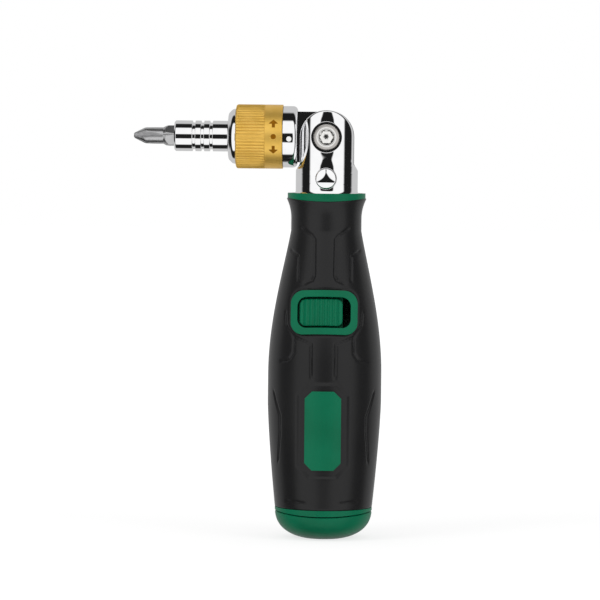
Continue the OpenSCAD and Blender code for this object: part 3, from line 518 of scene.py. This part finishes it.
def bridge_holes(piece, places):
    """Joins the outer and the inner wall round each hole. Heights tell the holes apart."""
    mesh = bmesh.new()
    mesh.from_mesh(piece.data)
    loose = [v for v in mesh.verts if not v.link_faces]
    bmesh.ops.delete(mesh, geom=loose, context="VERTS")
    edges = [e for e in mesh.edges if e.is_boundary]
    middle = [(e.verts[0].co.z + e.verts[1].co.z) / 2 / mm for e in edges]
    for low, high in places:
        ring = [e for e, z in zip(edges, middle) if low < z < high]
        bmesh.ops.bridge_loops(mesh, edges=ring)
    bmesh.ops.recalc_face_normals(mesh, faces=mesh.faces)
    mesh.to_mesh(piece.data)
    mesh.free()


above_rim = rim_z + 1
bridge_holes(grip, [(0, above_rim), (above_rim, above_window), (above_window, above_frame),
                    (above_frame, handle_h)])


def grip_paint(start, place):
    """Matt rubber: a fine even grain, a little lighter where hands have rubbed it."""
    slow = noise(start, place, 22.0)
    grain = noise(start, place, 0.22, 3.0)
    colour = slow.step(0.25, 0.8).mix(rubber_deep, rubber_worn)
    rough = slow * 0.06 + grain * 0.08 + 0.24
    bump = start.node("Bump", Strength=0.35, Distance=0.03 * mm, Height=grain)
    return start.surface(colour, rough, Normal=bump, IOR=1.34)


finish_piece(grip, finish_of("soft_grip", grip_paint), "soft_grip", "handle", "grip_sleeve")


# Switch: a ribbed slider of the same green plastic in the frame, moulded in one with the flange
# that runs under the frame's lip. It draws the latch plate off the catch post.
slider_left, slider_right, slider_half_h = -8.0, 6.1, 4.45
slider_corner, slider_edge = 1.9, 0.35
slider_face_r = 21.5
slider_deep, flange_t, flange_left, flange_half_h = 4.35, 1.35, -8.5, 6.1
rib_pitch, rib_deep, rib_margin, rib_fade = 1.62, 0.42, 1.1, 0.3


def grid(points, around=True, closed=False):
    """A grid's points in one list, and its faces."""
    rows, columns = points.shape[:2]
    return points.reshape(-1, 3), grid_faces(rows, columns, around, closed)


def joined_piece(name, *grids):
    """One object from several grids, welded where they meet."""
    first = np.cumsum([0] + [len(points) for points, _ in grids[:-1]])
    points = np.concatenate([points for points, _ in grids])
    piece = mesh_piece(name, points, np.concatenate([f + k for (_, f), k in zip(grids, first)]))
    weld(piece)
    return piece


def closed_ends(loops):
    """A grid of loops whose two ends are closed, each to the middle of its loop."""
    ends = [loops[k].mean(0) + 0 * loops[k] for k in (0, -1)]
    return grid(np.concatenate([ends[0][None], loops, ends[1][None]]))


def rounding(depth, radius):
    """How far a quarter round of a radius has dropped at a depth inside its edge."""
    return radius - np.sqrt(radius ** 2 - (radius - depth).clip(0, radius) ** 2)


def on_switch(x, deep, up):
    """A point of the switch: across, into the handle, and up along the tilted grip."""
    low, high = grip_radius(np.array([frame_z - frame_h / 2, frame_z + frame_h / 2]))
    tilt = math.atan((low - high) / frame_h)
    y = deep * math.cos(tilt) + up * math.sin(tilt) - grip_radius(np.array(frame_z))
    return np.stack([x, y, frame_z - deep * math.sin(tilt) + up * math.cos(tilt)], -1)


def slider_block():
    """Loops over the top and back under it, one at each place across. The top is a cylinder's
    arc plus a cosine for the ribs plus a quarter round at the edge; the ends are closed."""
    half_w, middle = (slider_right - slider_left) / 2, (slider_right + slider_left) / 2
    bend = np.sin(np.linspace(0, math.pi / 2, 12))
    corner = half_w - slider_corner * (1 - bend)
    between = np.linspace(-half_w, half_w, 141)[20:-20]
    x = np.concatenate([-corner[::-1], between, corner])[:, None]
    in_corner = (abs(x) - half_w + slider_corner).clip(0)
    half = slider_half_h - slider_corner + np.sqrt(slider_corner ** 2 - in_corner ** 2)
    up = half * np.concatenate([-bend[::-1], bend[1:]])
    inside = -outside_round(x, up, half_w, slider_half_h, slider_corner)
    arc = slider_face_r - np.sqrt(slider_face_r ** 2 - (x + middle) ** 2)
    ribbed = smooth_step(half_w - rib_margin - abs(x), -rib_fade, rib_fade)
    wave = rib_deep * ribbed * (0.5 - 0.5 * np.cos(2 * math.pi * x / rib_pitch))
    top = on_switch(x + middle + 0 * up, arc + wave + rounding(inside.clip(0), slider_edge), up)
    under = on_switch(x + middle + 0 * up, slider_deep + 0 * up, up)[:, ::-1]
    return closed_ends(np.concatenate([top, under], 1))


def slider_flange():
    """A flat bar behind the block: its outline from the front, carried through its thickness."""
    x = np.array([flange_left, slider_right, slider_right, flange_left])
    up = np.array([-1, -1, 1, 1]) * flange_half_h
    faces = [on_switch(x, slider_deep + deep + 0 * x, up) for deep in (0.0, flange_t)]
    return closed_ends(np.array(faces))


slider = joined_piece("switch_slider", slider_block(), slider_flange())
finish_piece(slider, green, "green_plastic", "latch", "latch_slider", crease=50.0)


# Latch plate and spring: the steel plate on the slider hooks round the catch post's head, and
# the spring pushes the slider back.
steel_dark, steel_light = (0.42, 0.42, 0.43, 1.0), (0.56, 0.56, 0.57, 1.0)
wire_dark, wire_light = (0.26, 0.25, 0.24, 1.0), (0.42, 0.41, 0.40, 1.0)


def inner_paint(start, place):
    """Ground steel with a thin film of oil: fine lines one way and slow darker patches."""
    lines = start.node("TexWave", {"bands_direction": "Z"}, out=1, Vector=place, Scale=900.0,
                       Distortion=2.0, Detail=2.0)
    slow = noise(start, place, 5.0, 3.0)
    colour = slow.step(0.25, 0.8).mix(steel_dark, steel_light)
    rough = lines * 0.08 + slow * 0.1 + 0.24
    return start.surface(colour, rough, Metallic=1.0)


inner_steel = finish_of("inner_steel", inner_paint)


def spring_paint(start, place):
    """Drawn spring wire: dark, slightly brown, glossier on its rubbed parts."""
    slow = noise(start, place, 0.8, 2.0)
    colour = slow.step(0.3, 0.7).mix(wire_dark, wire_light)
    rough = slow * 0.15 + 0.2
    return start.surface(colour, rough, Metallic=1.0)


spring_steel = finish_of("spring_steel", spring_paint)


def refinish(material, *names):
    """Gives CAD nodes that stay as they are a finish of their own."""
    for name in names:
        for place in nodes[name].material_slots:
            place.material = material


def sprung(name, node, body):
    """A merged copy of a CAD spring with its own mesh and the spring finish, on a body, in place of
    the node."""
    piece = merged_copy(name, node)
    finish_piece(piece, spring_steel, "spring_steel", body, node, crease=60.0)
    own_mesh(piece)


refinish(inner_steel, "latch_plate")
sprung("latch_coil", "latch_spring", "handle")


# Magazine: the carrier on the end cap holds six bits in pockets round the catch post, whose
# head goes up into the latch. A clip holds the post and a spring throws the magazine out.
carrier_dark, carrier_light = (0.013, 0.013, 0.014, 1.0), (0.022, 0.022, 0.023, 1.0)
bit_dark, bit_light = (0.50, 0.50, 0.505, 1.0), (0.60, 0.60, 0.605, 1.0)
carrier_bevel, stored_bevel = 0.2, 0.12


def carrier_paint(start, place):
    """Black moulded plastic: fine spark texture and slow changes of gloss."""
    slow = noise(start, place, 9.0)
    fine = noise(start, place, 0.2, 2.0)
    colour = slow.step(0.3, 0.7).mix(carrier_dark, carrier_light)
    rough = slow * 0.12 + 0.32
    bump = start.node("Bump", Strength=0.3, Distance=0.02 * mm, Height=fine)
    return start.surface(colour, rough, Normal=bump)


def steel_paint(start, place):
    """Blasted tool steel: grey and satin, with small lighter and darker spots."""
    slow = noise(start, place, 3.0, 3.0)
    fine = noise(start, place, 0.12, 2.0)
    colour = slow.step(0.25, 0.8).mix(bit_dark, bit_light)
    rough = fine * 0.1 + 0.27
    bump = start.node("Bump", Strength=0.12, Distance=0.01 * mm, Height=fine)
    return start.surface(colour, rough, Metallic=1.0, Normal=bump)


carrier = worked_copy("bit_rack", "bit_carrier", carrier_bevel)
finish_piece(carrier, finish_of("carrier_plastic", carrier_paint), "carrier_plastic", "magazine",
             "bit_carrier")
bit_steel = finish_of("bit_steel", steel_paint)
stored_bits = worked_copy("stored_bits", "spare_bits", stored_bevel)
finish_piece(stored_bits, bit_steel, "bit_steel", "magazine", "spare_bits")
refinish(inner_steel, "catch_post", "post_clip")
refinish(spring_steel, "ejector_spring")


# Fork: one chromed forging on a stem. Two round ears stand beside the slot for the head's
# tongue. Their edges are rolled, as are the counterbores for the pivot screw and its nut and,
# in front, the bore of the push button.
pivot_z = 133.5
fork_r = 10.3
ear_r = 8.9
slot_face = 3.4
slot_floor = 124.2
seam_z = 125.6
shoulder = (122.4, 124.6)
counterbore_r, counterbore_floor = 5.05, 6.6
pivot_bore_r = 2.5
button_z = 119.8
button_bore_r, button_floor = 3.41, 3.26
edge_roll = 0.55
lip_w, lip_depth, rim_round = 0.3, 0.03, 0.15
dish_w, dish_reach, dish_depth = 2.6, 3.0, 0.2
foot_h, foot_flare = 0.9, 0.2
stem_r, stem_edge, stem_bottom = 6.0, 0.4, 86.9
tip_bore_r, plunger_bore_r = 1.55, 2.46
plunger_bore_top, plunger_bore_bottom = 122.2, 104.5
chrome_dark, chrome_light = (0.93, 0.93, 0.94, 1.0), (0.97, 0.97, 0.975, 1.0)


def chrome_paint(start, place):
    """Polished chrome: a clean mirror with faint wiping marks."""
    wiped = noise(start, place, 3.0, 4.0)
    colour = wiped.step(0.3, 0.8).mix(chrome_dark, chrome_light)
    rough = wiped * 0.04 + 0.02
    return start.surface(colour, rough, Metallic=1.0)


chrome = finish_of("chrome", chrome_paint)


def fork_inside(x, z):
    """Distance inside the front outline: a round arch, straight sides, sloped shoulders."""
    beside = np.interp(z, shoulder, (fork_r, ear_r)) - abs(x)
    return np.where(z > pivot_z, ear_r - np.hypot(x, z - pivot_z), beside).clip(0)


def fork_skin(a, z, side):
    """A cylinder with a flared foot, dropped by its rolled edges, by the lips of its bores, and
    by a shallow dish above and below each bore, a bell curve across that fades with distance."""
    flare = foot_flare * ((handle_h + foot_h - z) / foot_h).clip(0, 1) ** 2
    x = fork_r * np.sin(a)
    sink = rounding(fork_inside(x, z), edge_roll * smooth_step(z, *shoulder) + 1e-9)
    bores = [(pivot_z, counterbore_r)]
    if side < 0:
        bores.append((button_z, button_bore_r))
    for middle, radius in bores:
        past = (np.hypot(x, z - middle) - radius).clip(0)
        sink = sink + lip_depth * (1 - past / lip_w).clip(0) ** 2 + rounding(past, rim_round)
        sink = sink + dish_depth * np.exp(-(x / dish_w) ** 2) * smooth_step(-past, -dish_reach, 0)
    return np.stack([x + flare * np.sin(a), side * ((fork_r + flare) * np.cos(a) - sink), z], -1)


# Steps across a patch's skin, in millimetres: out from its bore, and in from its outline. On a
# short ray they are squeezed into a share of it.
near_steps = np.array([0, 0.01, 0.04, 0.09, 0.15, 0.22, 0.3, 0.4, 0.6, 0.85, 1.1, 1.4])[:, None]
far_steps = edge_roll * (1 - np.sin(np.linspace(-0.25, math.pi / 2, 14)))[:, None]
squeeze_share = 0.8


def ear_patch(x, z, depth, middle, radius, floor, side, bore=None):
    """Rays from a bore to the outline round it: floor, wall, skin and the side down to a depth.
    A patch with a pivot bore goes on along the slot's face and closes on itself. Faces that
    lie in the seam, where the patches meet inside the metal, are left out."""
    u = fork_r * np.arcsin(x / fork_r)
    turn = np.arctan2(z - middle, u)
    u_in = fork_r * np.arcsin(radius * np.cos(turn) / fork_r)
    z_in = middle + radius * np.sin(turn)
    length = np.hypot(u - u_in, z - z_in)
    ends = near_steps[-1] + far_steps[0]
    squeeze = np.minimum(1, squeeze_share * length / ends)
    near, far = near_steps * squeeze, length - far_steps * squeeze
    between = near[-1] + (far[0] - near[-1]) * np.linspace(0, 1, 12)[1:-1, None]
    share = np.concatenate([near, between, far]) / length
    skin = fork_skin((u_in + (u - u_in) * share) / fork_r, z_in + (z - z_in) * share, side)

    def ring(r, y):
        return np.stack([r * np.cos(turn), side * y + 0 * turn, middle + r * np.sin(turn)], -1)

    start = [ring(bore, slot_face), ring(bore, floor)] if bore else [ring(0.0, floor)]
    wall = [ring(radius, floor)] if radius else []
    edge = np.stack([skin[-1, :, 0], side * depth + 0 * z, z], -1)
    rows = np.concatenate([np.array(start + wall), skin, edge[None]])
    flat, faces = grid(rows, closed=bore is not None)
    hidden = (abs(flat[faces][:, :, 2] - seam_z) < 1e-6).all(1)
    return flat, faces[~hidden]


# The outlines of the two patches of a side. The upper one goes up round the ear and back along
# the seam; the lower one goes along the seam, down a flank, round the foot and up again.
seam_x = ear_r * np.linspace(-1, 1, 41)
side_z = np.linspace(seam_z, pivot_z, 15)[:-1]
arch = np.linspace(0, math.pi, 121)
upper_x = np.concatenate([ear_r + 0 * side_z, ear_r * np.cos(arch), 0 * side_z - ear_r,
                          seam_x[1:-1]])
upper_z = np.concatenate([side_z, pivot_z + ear_r * np.sin(arch), side_z[::-1],
                          seam_z + 0 * seam_x[1:-1]])
flank_z = np.concatenate([[shoulder[1], slot_floor], np.linspace(slot_floor, shoulder[0], 9),
                          np.linspace(shoulder[0], handle_h, 13)[1:]])
flank_x = np.interp(flank_z, shoulder, (fork_r, ear_r))
flank_y = np.where(np.arange(len(flank_z)) < 2, slot_face, 0.0)
foot_x = fork_r * np.sin(np.linspace(-math.pi / 2, math.pi / 2, 61))[1:-1]
lower_x = np.concatenate([seam_x[::-1], -flank_x, foot_x, flank_x[::-1]])
lower_z = np.concatenate([seam_z + 0 * seam_x, flank_z, handle_h + 0 * foot_x, flank_z[::-1]])
lower_y = np.concatenate([slot_face + 0 * seam_x, flank_y, 0 * foot_x, flank_y[::-1]])


def slot_cheek(side):
    """The strip of the slot's face from its floor up to the seam between the two patches."""
    z = np.array([slot_floor, shoulder[1], seam_z])[:, None]
    x = np.interp(z, shoulder, (fork_r, ear_r)) * seam_x / ear_r
    return grid(np.stack([x, side * slot_face + 0 * x, z + 0 * x], -1), around=False)


def turned(profile, turns=96):
    """A profile of radius and height carried round the handle's axis."""
    a = round_angles(turns)
    r, z = np.array(profile, float).T[:, :, None]
    return grid(np.stack([r * np.cos(a), r * np.sin(a), z + 0 * a], -1))


def slot_floor_patch():
    """The floor of the slot, from the hole for the plunger's tip out to its rectangle: the less
    of its half length over the angle's cosine and its half width over the sine."""
    half_x = float(np.interp(slot_floor, shoulder, (fork_r, ear_r)))
    a = round_angles(96)
    reach = np.minimum(half_x / abs(np.cos(a)).clip(1e-6), slot_face / abs(np.sin(a)).clip(1e-6))
    r = np.array([tip_bore_r + 0 * a, reach])
    return grid(np.stack([r * np.cos(a), r * np.sin(a), slot_floor + 0 * r], -1))


ear = (upper_x, upper_z, slot_face, pivot_z, counterbore_r, counterbore_floor)
fork = joined_piece(
    "fork_forging",
    ear_patch(*ear, -1, pivot_bore_r),
    ear_patch(*ear, 1, pivot_bore_r),
    ear_patch(lower_x, lower_z, lower_y, button_z, button_bore_r, button_floor, -1),
    ear_patch(lower_x, lower_z, lower_y, button_z, 0.0, 0.0, 1),
    slot_cheek(-1), slot_cheek(1), slot_floor_patch(),
    turned([(tip_bore_r, slot_floor), (tip_bore_r, plunger_bore_top),
            (plunger_bore_r, plunger_bore_top), (plunger_bore_r, plunger_bore_bottom),
            (0, plunger_bore_bottom)]),
    turned([(stem_r, handle_h), (stem_r, stem_bottom + stem_edge),
            (stem_r - stem_edge, stem_bottom), (0, stem_bottom)]))
finish_piece(fork, chrome, "chrome", "handle", "fork")


# Pivot screw: a chromed screw whose domed head sits in the front counterbore, with a sloped
# rim, a raised ring and a hexagon socket drilled to a shallow cone. The nut behind is the same
# head on a barrel.
thread_r, thread_edge, thread_end_y = 1.5, 0.2, 3.4
screw_rim = (-9.15, 4.4, 0.35)
screw_crown = (-10.02, 2.8, 0.3)
socket_lip = (-9.57, 2.25)
socket_half, socket_edge = 1.9, 0.1
socket_mouth_y, socket_floor_y, socket_drill_y = -9.45, -8.4, -7.65
nut_bevel = 0.2
screw_dark, screw_light = (0.84, 0.83, 0.81, 1.0), (0.92, 0.91, 0.89, 1.0)
# Painted shade: a darker grey painted onto the screw's sloped rim, where the chrome looks darker.
screw_rim_painted_shade = (0.50, 0.48, 0.46, 1.0)
rim_painted_shade_from, rim_painted_shade_full = 3.1, 3.5


def rounded_line(corners, steps=6):
    """A line through corners of (along, out, rounding), each rounded by a quadratic arc."""
    points = np.array([corner[:2] for corner in corners], float)
    line = []
    for k, corner in enumerate(corners):
        if len(corner) < 3:
            line.append(points[k])
            continue
        before, after = points[k - 1] - points[k], points[k + 1] - points[k]
        first = points[k] + before / np.hypot(*before) * corner[2]
        last = points[k] + after / np.hypot(*after) * corner[2]
        for t in np.linspace(0, 1, steps + 1):
            line.append((1 - t) ** 2 * first + 2 * t * (1 - t) * points[k] + t ** 2 * last)
    return np.array(line)


def hexagon(a, half):
    """Radius of a hexagon with corners at 0, 60, 120 degrees: half its width over a cosine."""
    return half / np.cos(a % (math.pi / 3) - math.pi / 6)


def pivot_screw_points():
    """Thread, head and rim turned round the pivot, then the hexagon's wall and its cone."""
    a = round_angles(144)
    line = rounded_line([(thread_end_y, 0), (thread_end_y, thread_r - thread_edge),
                         (thread_end_y - thread_edge, thread_r), (-counterbore_floor, thread_r),
                         (-counterbore_floor, screw_rim[1]), screw_rim, screw_crown, socket_lip])
    y, r = line.T[:, :, None] + 0 * a
    socket = [(socket_mouth_y, socket_half + socket_edge), (socket_mouth_y + socket_edge, socket_half),
              (socket_floor_y, socket_half), (socket_drill_y, 0)]
    depth, half = np.array(socket).T[:, :, None] + 0 * a
    y, r = np.concatenate([y, depth]), np.concatenate([r, hexagon(a, half)])
    return np.stack([r * np.cos(a), y, pivot_z + r * np.sin(a)], -1)


def screw_paint(start, place):
    """Chrome over a turned face: softer than the forgings' mirror, with painted shade that greys its
    sloped rim.
    """
    wiped = noise(start, place, 1.6, 3.0)
    flat = start.node("VectorMath", {"operation": "MULTIPLY"}, i0=place, i1=(1.0, 0.0, 1.0))
    pivot = (0.0, 0.0, pivot_z * mm)
    away = start.node("VectorMath", {"operation": "DISTANCE"}, out=1, i0=flat, i1=pivot)
    inner = wiped.step(0.3, 0.75).mix(screw_dark, screw_light)
    # Painted shade: from 3.1 to 3.5 mm out from the pivot, the colour goes over to the darker grey.
    rim = away.step(rim_painted_shade_from * mm, rim_painted_shade_full * mm)
    colour = rim.mix(inner, screw_rim_painted_shade)
    rough = wiped * 0.05 + 0.14
    return start.surface(colour, rough, Metallic=1.0)


screw_chrome = finish_of("screw_chrome", screw_paint)
screw = grid_piece("pivot_bolt", pivot_screw_points())
finish_piece(screw, screw_chrome, "chrome", "handle", "pivot_screw")
nut = worked_copy("pivot_barrel_nut", "pivot_nut", nut_bevel)
finish_piece(nut, screw_chrome, "chrome", "handle", "pivot_nut")


# Lock button: a round chrome button whose face is a soft ridge that widens downwards, with
# its lower part cut back. A blade behind it lifts the plunger.
push_r, push_back, push_face, push_crown, push_edge = 3.35, -6.4, -9.6, 2.3, 0.3
ridge_slope, ridge_top, ridge_reach = 0.21, 2.1, 3.5
crest_least, crest_growth, crest_spread = 0.05, 0.5, 0.1
cut_top, cut_slope = -1.25, 0.42
blade_half_w = 0.9
blade_side = [(-6.5, 117.4), (-1.8, 117.4), (0.0, 119.2), (0.0, 119.4), (-6.5, 119.4)]


def push_face_points():
    """Rings out to the rim: a ridge with slopes to both sides, whose crest is the rounder the
    lower it is, less a slanted cut below and a quarter round at the rim; then the body."""
    a = round_angles(96)
    rim = 0.9 + 0.1 * np.sin(np.linspace(0, math.pi / 2, 9))
    r = push_r * np.concatenate([np.linspace(0, 0.9, 26), rim])[:, None]
    x, z = r * np.cos(a), r * np.sin(a)
    below = (ridge_top - z).clip(0, ridge_reach)
    crest = crest_least + crest_growth * below + crest_spread * below ** 4
    fall = ridge_slope * (np.sqrt(x ** 2 + crest ** 2) - crest)
    fall = fall + cut_slope * (cut_top - z).clip(0) + rounding(push_r - r + 0 * a, push_edge)
    face = np.stack([x, push_face - push_crown + fall, button_z + z], -1)
    back = np.stack([face[-1, :, 0], push_back + 0 * a, face[-1, :, 2]], -1)
    middle = np.stack([0 * a, push_back + 0 * a, button_z + 0 * a], -1)
    return np.concatenate([face, back[None], middle[None]])


def push_blade():
    """The blade's side outline carried across its width, with both ends closed."""
    y, z = np.array(blade_side).T
    x = np.array([-blade_half_w, blade_half_w])
    return closed_ends(np.stack([x[:, None] + 0 * y, y + 0 * x[:, None], z + 0 * x[:, None]], -1))


push_button = joined_piece("push_button", grid(push_face_points()), push_blade())
finish_piece(push_button, chrome, "chrome", "lock_button", "lock_button")
refinish(inner_steel, "stem_pin", "lock_plunger")
sprung("button_coil", "button_spring", "handle")
sprung("plunger_coil", "plunger_spring", "handle")


# Head: a chromed barrel with the tongue that folds in the fork, index notches round the
# tongue's end, and inside it the room for the ratchet. A dot of white paint marks its front.
head_bevel, head_least_edge = 0.3, 50.0
white_dull, white_bright = (0.80, 0.80, 0.79, 1.0), (0.88, 0.88, 0.87, 1.0)


def white_paint(start, place):
    """White filling paint with a slightly uneven skin."""
    slow = noise(start, place, 0.5, 2.0)
    colour = slow.step(0.3, 0.7).mix(white_dull, white_bright)
    return start.surface(colour, slow * 0.15 + 0.4)


head = worked_copy("head_forging", "head_body", head_bevel, angle=head_least_edge)
finish_piece(head, chrome, "chrome", "head", "head_body")
refinish(finish_of("white_paint", white_paint), "index_mark")


# Ratchet: a toothed wheel on the spindle, two sprung pawls on pins beside it, bronze bearings
# before and behind, and the ball that clicks in the selector ring.
bronze_dark, bronze_light = (0.42, 0.24, 0.10, 1.0), (0.55, 0.34, 0.15, 1.0)


def bronze_paint(start, place):
    """Sintered bronze: dull gold brown, with fine open pores."""
    slow = noise(start, place, 2.0, 3.0)
    pores = noise(start, place, 0.15, 1.0)
    colour = slow.step(0.3, 0.7).mix(bronze_dark, bronze_light)
    bump = start.node("Bump", Strength=0.4, Distance=0.02 * mm, Height=pores)
    return start.surface(colour, slow * 0.15 + 0.3, Metallic=1.0, Normal=bump)


refinish(finish_of("bearing_bronze", bronze_paint), "rear_bush", "front_bush", "thrust_washer")
refinish(inner_steel, "detent_ball", "pawl_pins", "pawl_a", "pawl_b", "spindle", "ratchet_gear",
         "bit_magnet")
refinish(spring_steel, "detent_spring", "bit_clip")
for side in "ab":
    sprung(f"pawl_coil_{side}", f"pawl_spring_{side}", "head")


# Selector: a gold anodised aluminium ring that turns on the barrel. Its front part is knurled,
# and the smooth band behind has two arrows and a dot inked into it.
ring_back, ring_front = 14.65, 30.25
ring_r, ring_bore_r = 10.65, 8.26
back_round, front_round = 0.3, 0.9
knurl_back, knurl_run = 20.55, 0.35
seam_w, seam_deep = 0.1, 0.08
knurl_rows = (20.95, 23.0, 26.0, 28.5)
knurl_count, knurl_deep = 62, 0.29
knurl_inner_r, knurl_outer_r = 9.26, 10.35
gold_metal = 0.7
gold_deep, gold_light = (0.86, 0.53, 0.10, 1.0), (0.93, 0.59, 0.13, 1.0)
ink_dark, ink_light = (0.20, 0.075, 0.001, 1.0), (0.26, 0.10, 0.002, 1.0)


def gold_paint(start, place):
    """Anodised aluminium: satin, a little uneven in colour, finely turned."""
    slow = noise(start, place, 4.0, 3.0)
    fine = noise(start, place, 0.25, 2.0)
    colour = slow.step(0.3, 0.75).mix(gold_deep, gold_light)
    rough = fine * 0.08 + 0.36
    return start.surface(colour, rough, Metallic=gold_metal)


gold = finish_of("gold_anodised", gold_paint)


def along_head(s, r, a):
    """A point of the folded head: s from the pivot to the tip, r out, and a from the top."""
    return np.stack([-s + 0 * r, r * np.sin(a), pivot_z + r * np.cos(a)], -1)


def selector_points():
    """A turned profile; on its front part r drops by a cosine round the ring, once a groove."""
    a = round_angles(8 * knurl_count)
    band = [(ring_back, ring_bore_r), (ring_back, ring_r, back_round)]
    seam = [(knurl_back - seam_w, ring_r), (knurl_back, ring_r - seam_deep),
            (knurl_back + seam_w, ring_r)]
    knurl = [(s, ring_r) for s in knurl_rows]
    front = [(ring_front, ring_r, front_round), (ring_front, ring_bore_r)]
    s, r = rounded_line(band + seam + knurl + front, 8).T[:, :, None] + 0 * a
    cut = smooth_step(s, knurl_back, knurl_back + knurl_run)
    cut = cut * smooth_step(r, knurl_inner_r, knurl_outer_r)
    r = r - cut * knurl_deep * (0.5 - 0.5 * np.cos(knurl_count * a))
    return along_head(s, r, a)


ring = grid_piece("selector", selector_points(), closed=True)
finish_piece(ring, gold, "gold_anodised", "selector", "selector_ring")

mark_s, mark_apart, mark_lift = 17.55, math.radians(24.0), 0.03
shaft_half, barb_droop = 0.5, 0.25
arrow_up = np.array([-1.4, -0.1, 0.12, 0.28, 0.42, 0.9, 1.4])
arrow_half = np.array([shaft_half, shaft_half, 1.25, 1.5, 1.35, 0.6, 0.03])
dot_r, dot_least = 0.88, 0.01


def mark_patch(middle, up, half, droop):
    """Rows across a mark: each has its height up the mark and its half width; the ends droop.
    The mark is a thin shell, half sunk in the ring."""
    across = np.linspace(-1, 1, 13)[None, :] * half[:, None]
    u = up[:, None] - droop * (abs(across) - shaft_half).clip(0)
    a = 1.5 * math.pi + middle + u / ring_r
    top = along_head(mark_s + across, ring_r + mark_lift + 0 * a, a)
    under = along_head(mark_s + across, ring_r - mark_lift + 0 * a, a)
    return closed_ends(np.concatenate([top, under[:, ::-1]], 1))


def arrow(middle, way):
    """A shaft and a head with drooping barbs, pointing up or down the ring."""
    up = np.linspace(arrow_up[0], arrow_up[-1], 57)
    return mark_patch(middle, way * up, np.interp(up, arrow_up, arrow_half), barb_droop * way)


def mark_paint(start, place):
    """Brown ink sunk in the anodised skin."""
    slow = noise(start, place, 0.6, 2.0)
    colour = slow.step(0.3, 0.7).mix(ink_dark, ink_light)
    return start.surface(colour, slow * 0.1 + 0.4, IOR=1.15)


dot = np.linspace(-dot_r, dot_r, 25)
marks = joined_piece("selector_marks", arrow(mark_apart, 1), arrow(-mark_apart, -1),
                     mark_patch(0.0, dot, np.sqrt(dot_r ** 2 - dot ** 2) + dot_least, 0.0))
finish_piece(marks, finish_of("mark_ink", mark_paint), "gold_anodised", "selector")


# Front cap: a turned chrome cap with a broad sloped edge. It is screwed into the barrel in
# front of the selector ring and keeps it on.
cap_back, cap_seat, cap_front = 28.3, 30.4, 32.8
cap_bore_r, cap_neck_r, cap_r = 5.0, 6.55, 9.2
cap_mouth_round = 0.2
cap_slope = [(32.8, 7.6, 0.6), (31.4, 9.0, 0.5)]
cap_line = [(cap_back, cap_bore_r), (cap_front, cap_bore_r, cap_mouth_round), *cap_slope,
            (cap_seat, cap_r), (cap_seat, cap_neck_r), (cap_back, cap_neck_r),
            (cap_back, cap_bore_r)]


def turned_head(line, turns=144):
    """A line of (along, out) carried round the head's axis."""
    a = round_angles(turns)
    s, r = line.T[:, :, None] + 0 * a
    return along_head(s, r, a)


cap = grid_piece("front_ring", turned_head(rounded_line(cap_line, 10)))
finish_piece(cap, chrome, "chrome", "head", "front_cap")


# Bit sleeve: a turned chrome sleeve on the end of the spindle, with three grooves round it and
# a hexagonal socket in which a magnet and a spring clip hold the bit.
sleeve_bevel = 0.2
sleeve = worked_copy("chuck", "bit_sleeve", sleeve_bevel)
finish_piece(sleeve, chrome, "chrome", "spindle", "bit_sleeve")


# Driver bit: a cross-point bit of blasted tool steel. Behind is the hexagonal shank, then comes
# a ramp to a round neck, and in front a cone with four hollow flutes.
bit_back, bit_l, bit_half, bit_turn = 39.4, 25.0, 3.175, math.radians(38.0)
shank_l, ramp_l, cone_l = 13.4, 1.8, 3.937
bit_neck_r, bit_point_r, bit_web_r = 2.7305, 0.889, 0.5715
shank_edge = 0.4
cone_start = (0.5, -0.17)
point_side, point_end = (-0.35, 0.12), (0.0, -0.25)
fine_rows_before = 1.2
flute_tilt, flute_turn = math.radians(12.0), math.radians(-28.0)
flute_round, flute_far = 0.12, 9.0


def bit_points(columns=240):
    """Radius at each angle: the least of the turned body, the hexagon and, ahead, the flutes.
    A flute is a square groove whose root rises towards the back: its root's height over the
    cosine less the sine of the angle from its middle. A soft minimum hollows it."""
    a = round_angles(columns)[None, :]
    corner, neck_end = bit_half / math.cos(math.pi / 6), bit_l - cone_l
    body_s, body_r = np.array([
        (0, corner - shank_edge), (shank_edge, corner), (shank_l, corner),
        (shank_l + ramp_l, bit_neck_r), (neck_end, bit_neck_r),
        (neck_end + cone_start[0], bit_neck_r + cone_start[1]),
        (bit_l + point_side[0], bit_point_r + point_side[1]),
        (bit_l + point_end[0], bit_point_r + point_end[1])]).T
    fine = np.linspace(shank_l - fine_rows_before, bit_l, 90)
    s = np.unique(np.concatenate([body_s, fine]))[:, None]
    body = np.interp(s, body_s, body_r) + 0 * a
    flat = hexagon(a, bit_half + 0 * s)
    body = np.where(s < shank_l + ramp_l, np.minimum(body, flat), body)
    off = (a - flute_turn + math.pi / 4) % (math.pi / 2) - math.pi / 4
    root = bit_web_r + (bit_l - s) * math.tan(flute_tilt)
    groove = np.minimum(root / (np.cos(off) - abs(np.sin(off))).clip(1e-3), flute_far)
    gap = (flute_round - abs(groove - body)).clip(0) / flute_round
    r = np.minimum(groove, body) - gap ** 2 * flute_round / 4
    rows = along_head(bit_back + s, r, a + bit_turn)
    ends = [along_head(bit_back + e + 0 * a, 0 * a, a) for e in (0.0, bit_l)]
    return np.concatenate([ends[0], rows, ends[1]])


cross_bit = grid_piece("cross_bit", bit_points())
finish_piece(cross_bit, bit_steel, "bit_steel", "driver_bit", "driver_bit", crease=30.0)
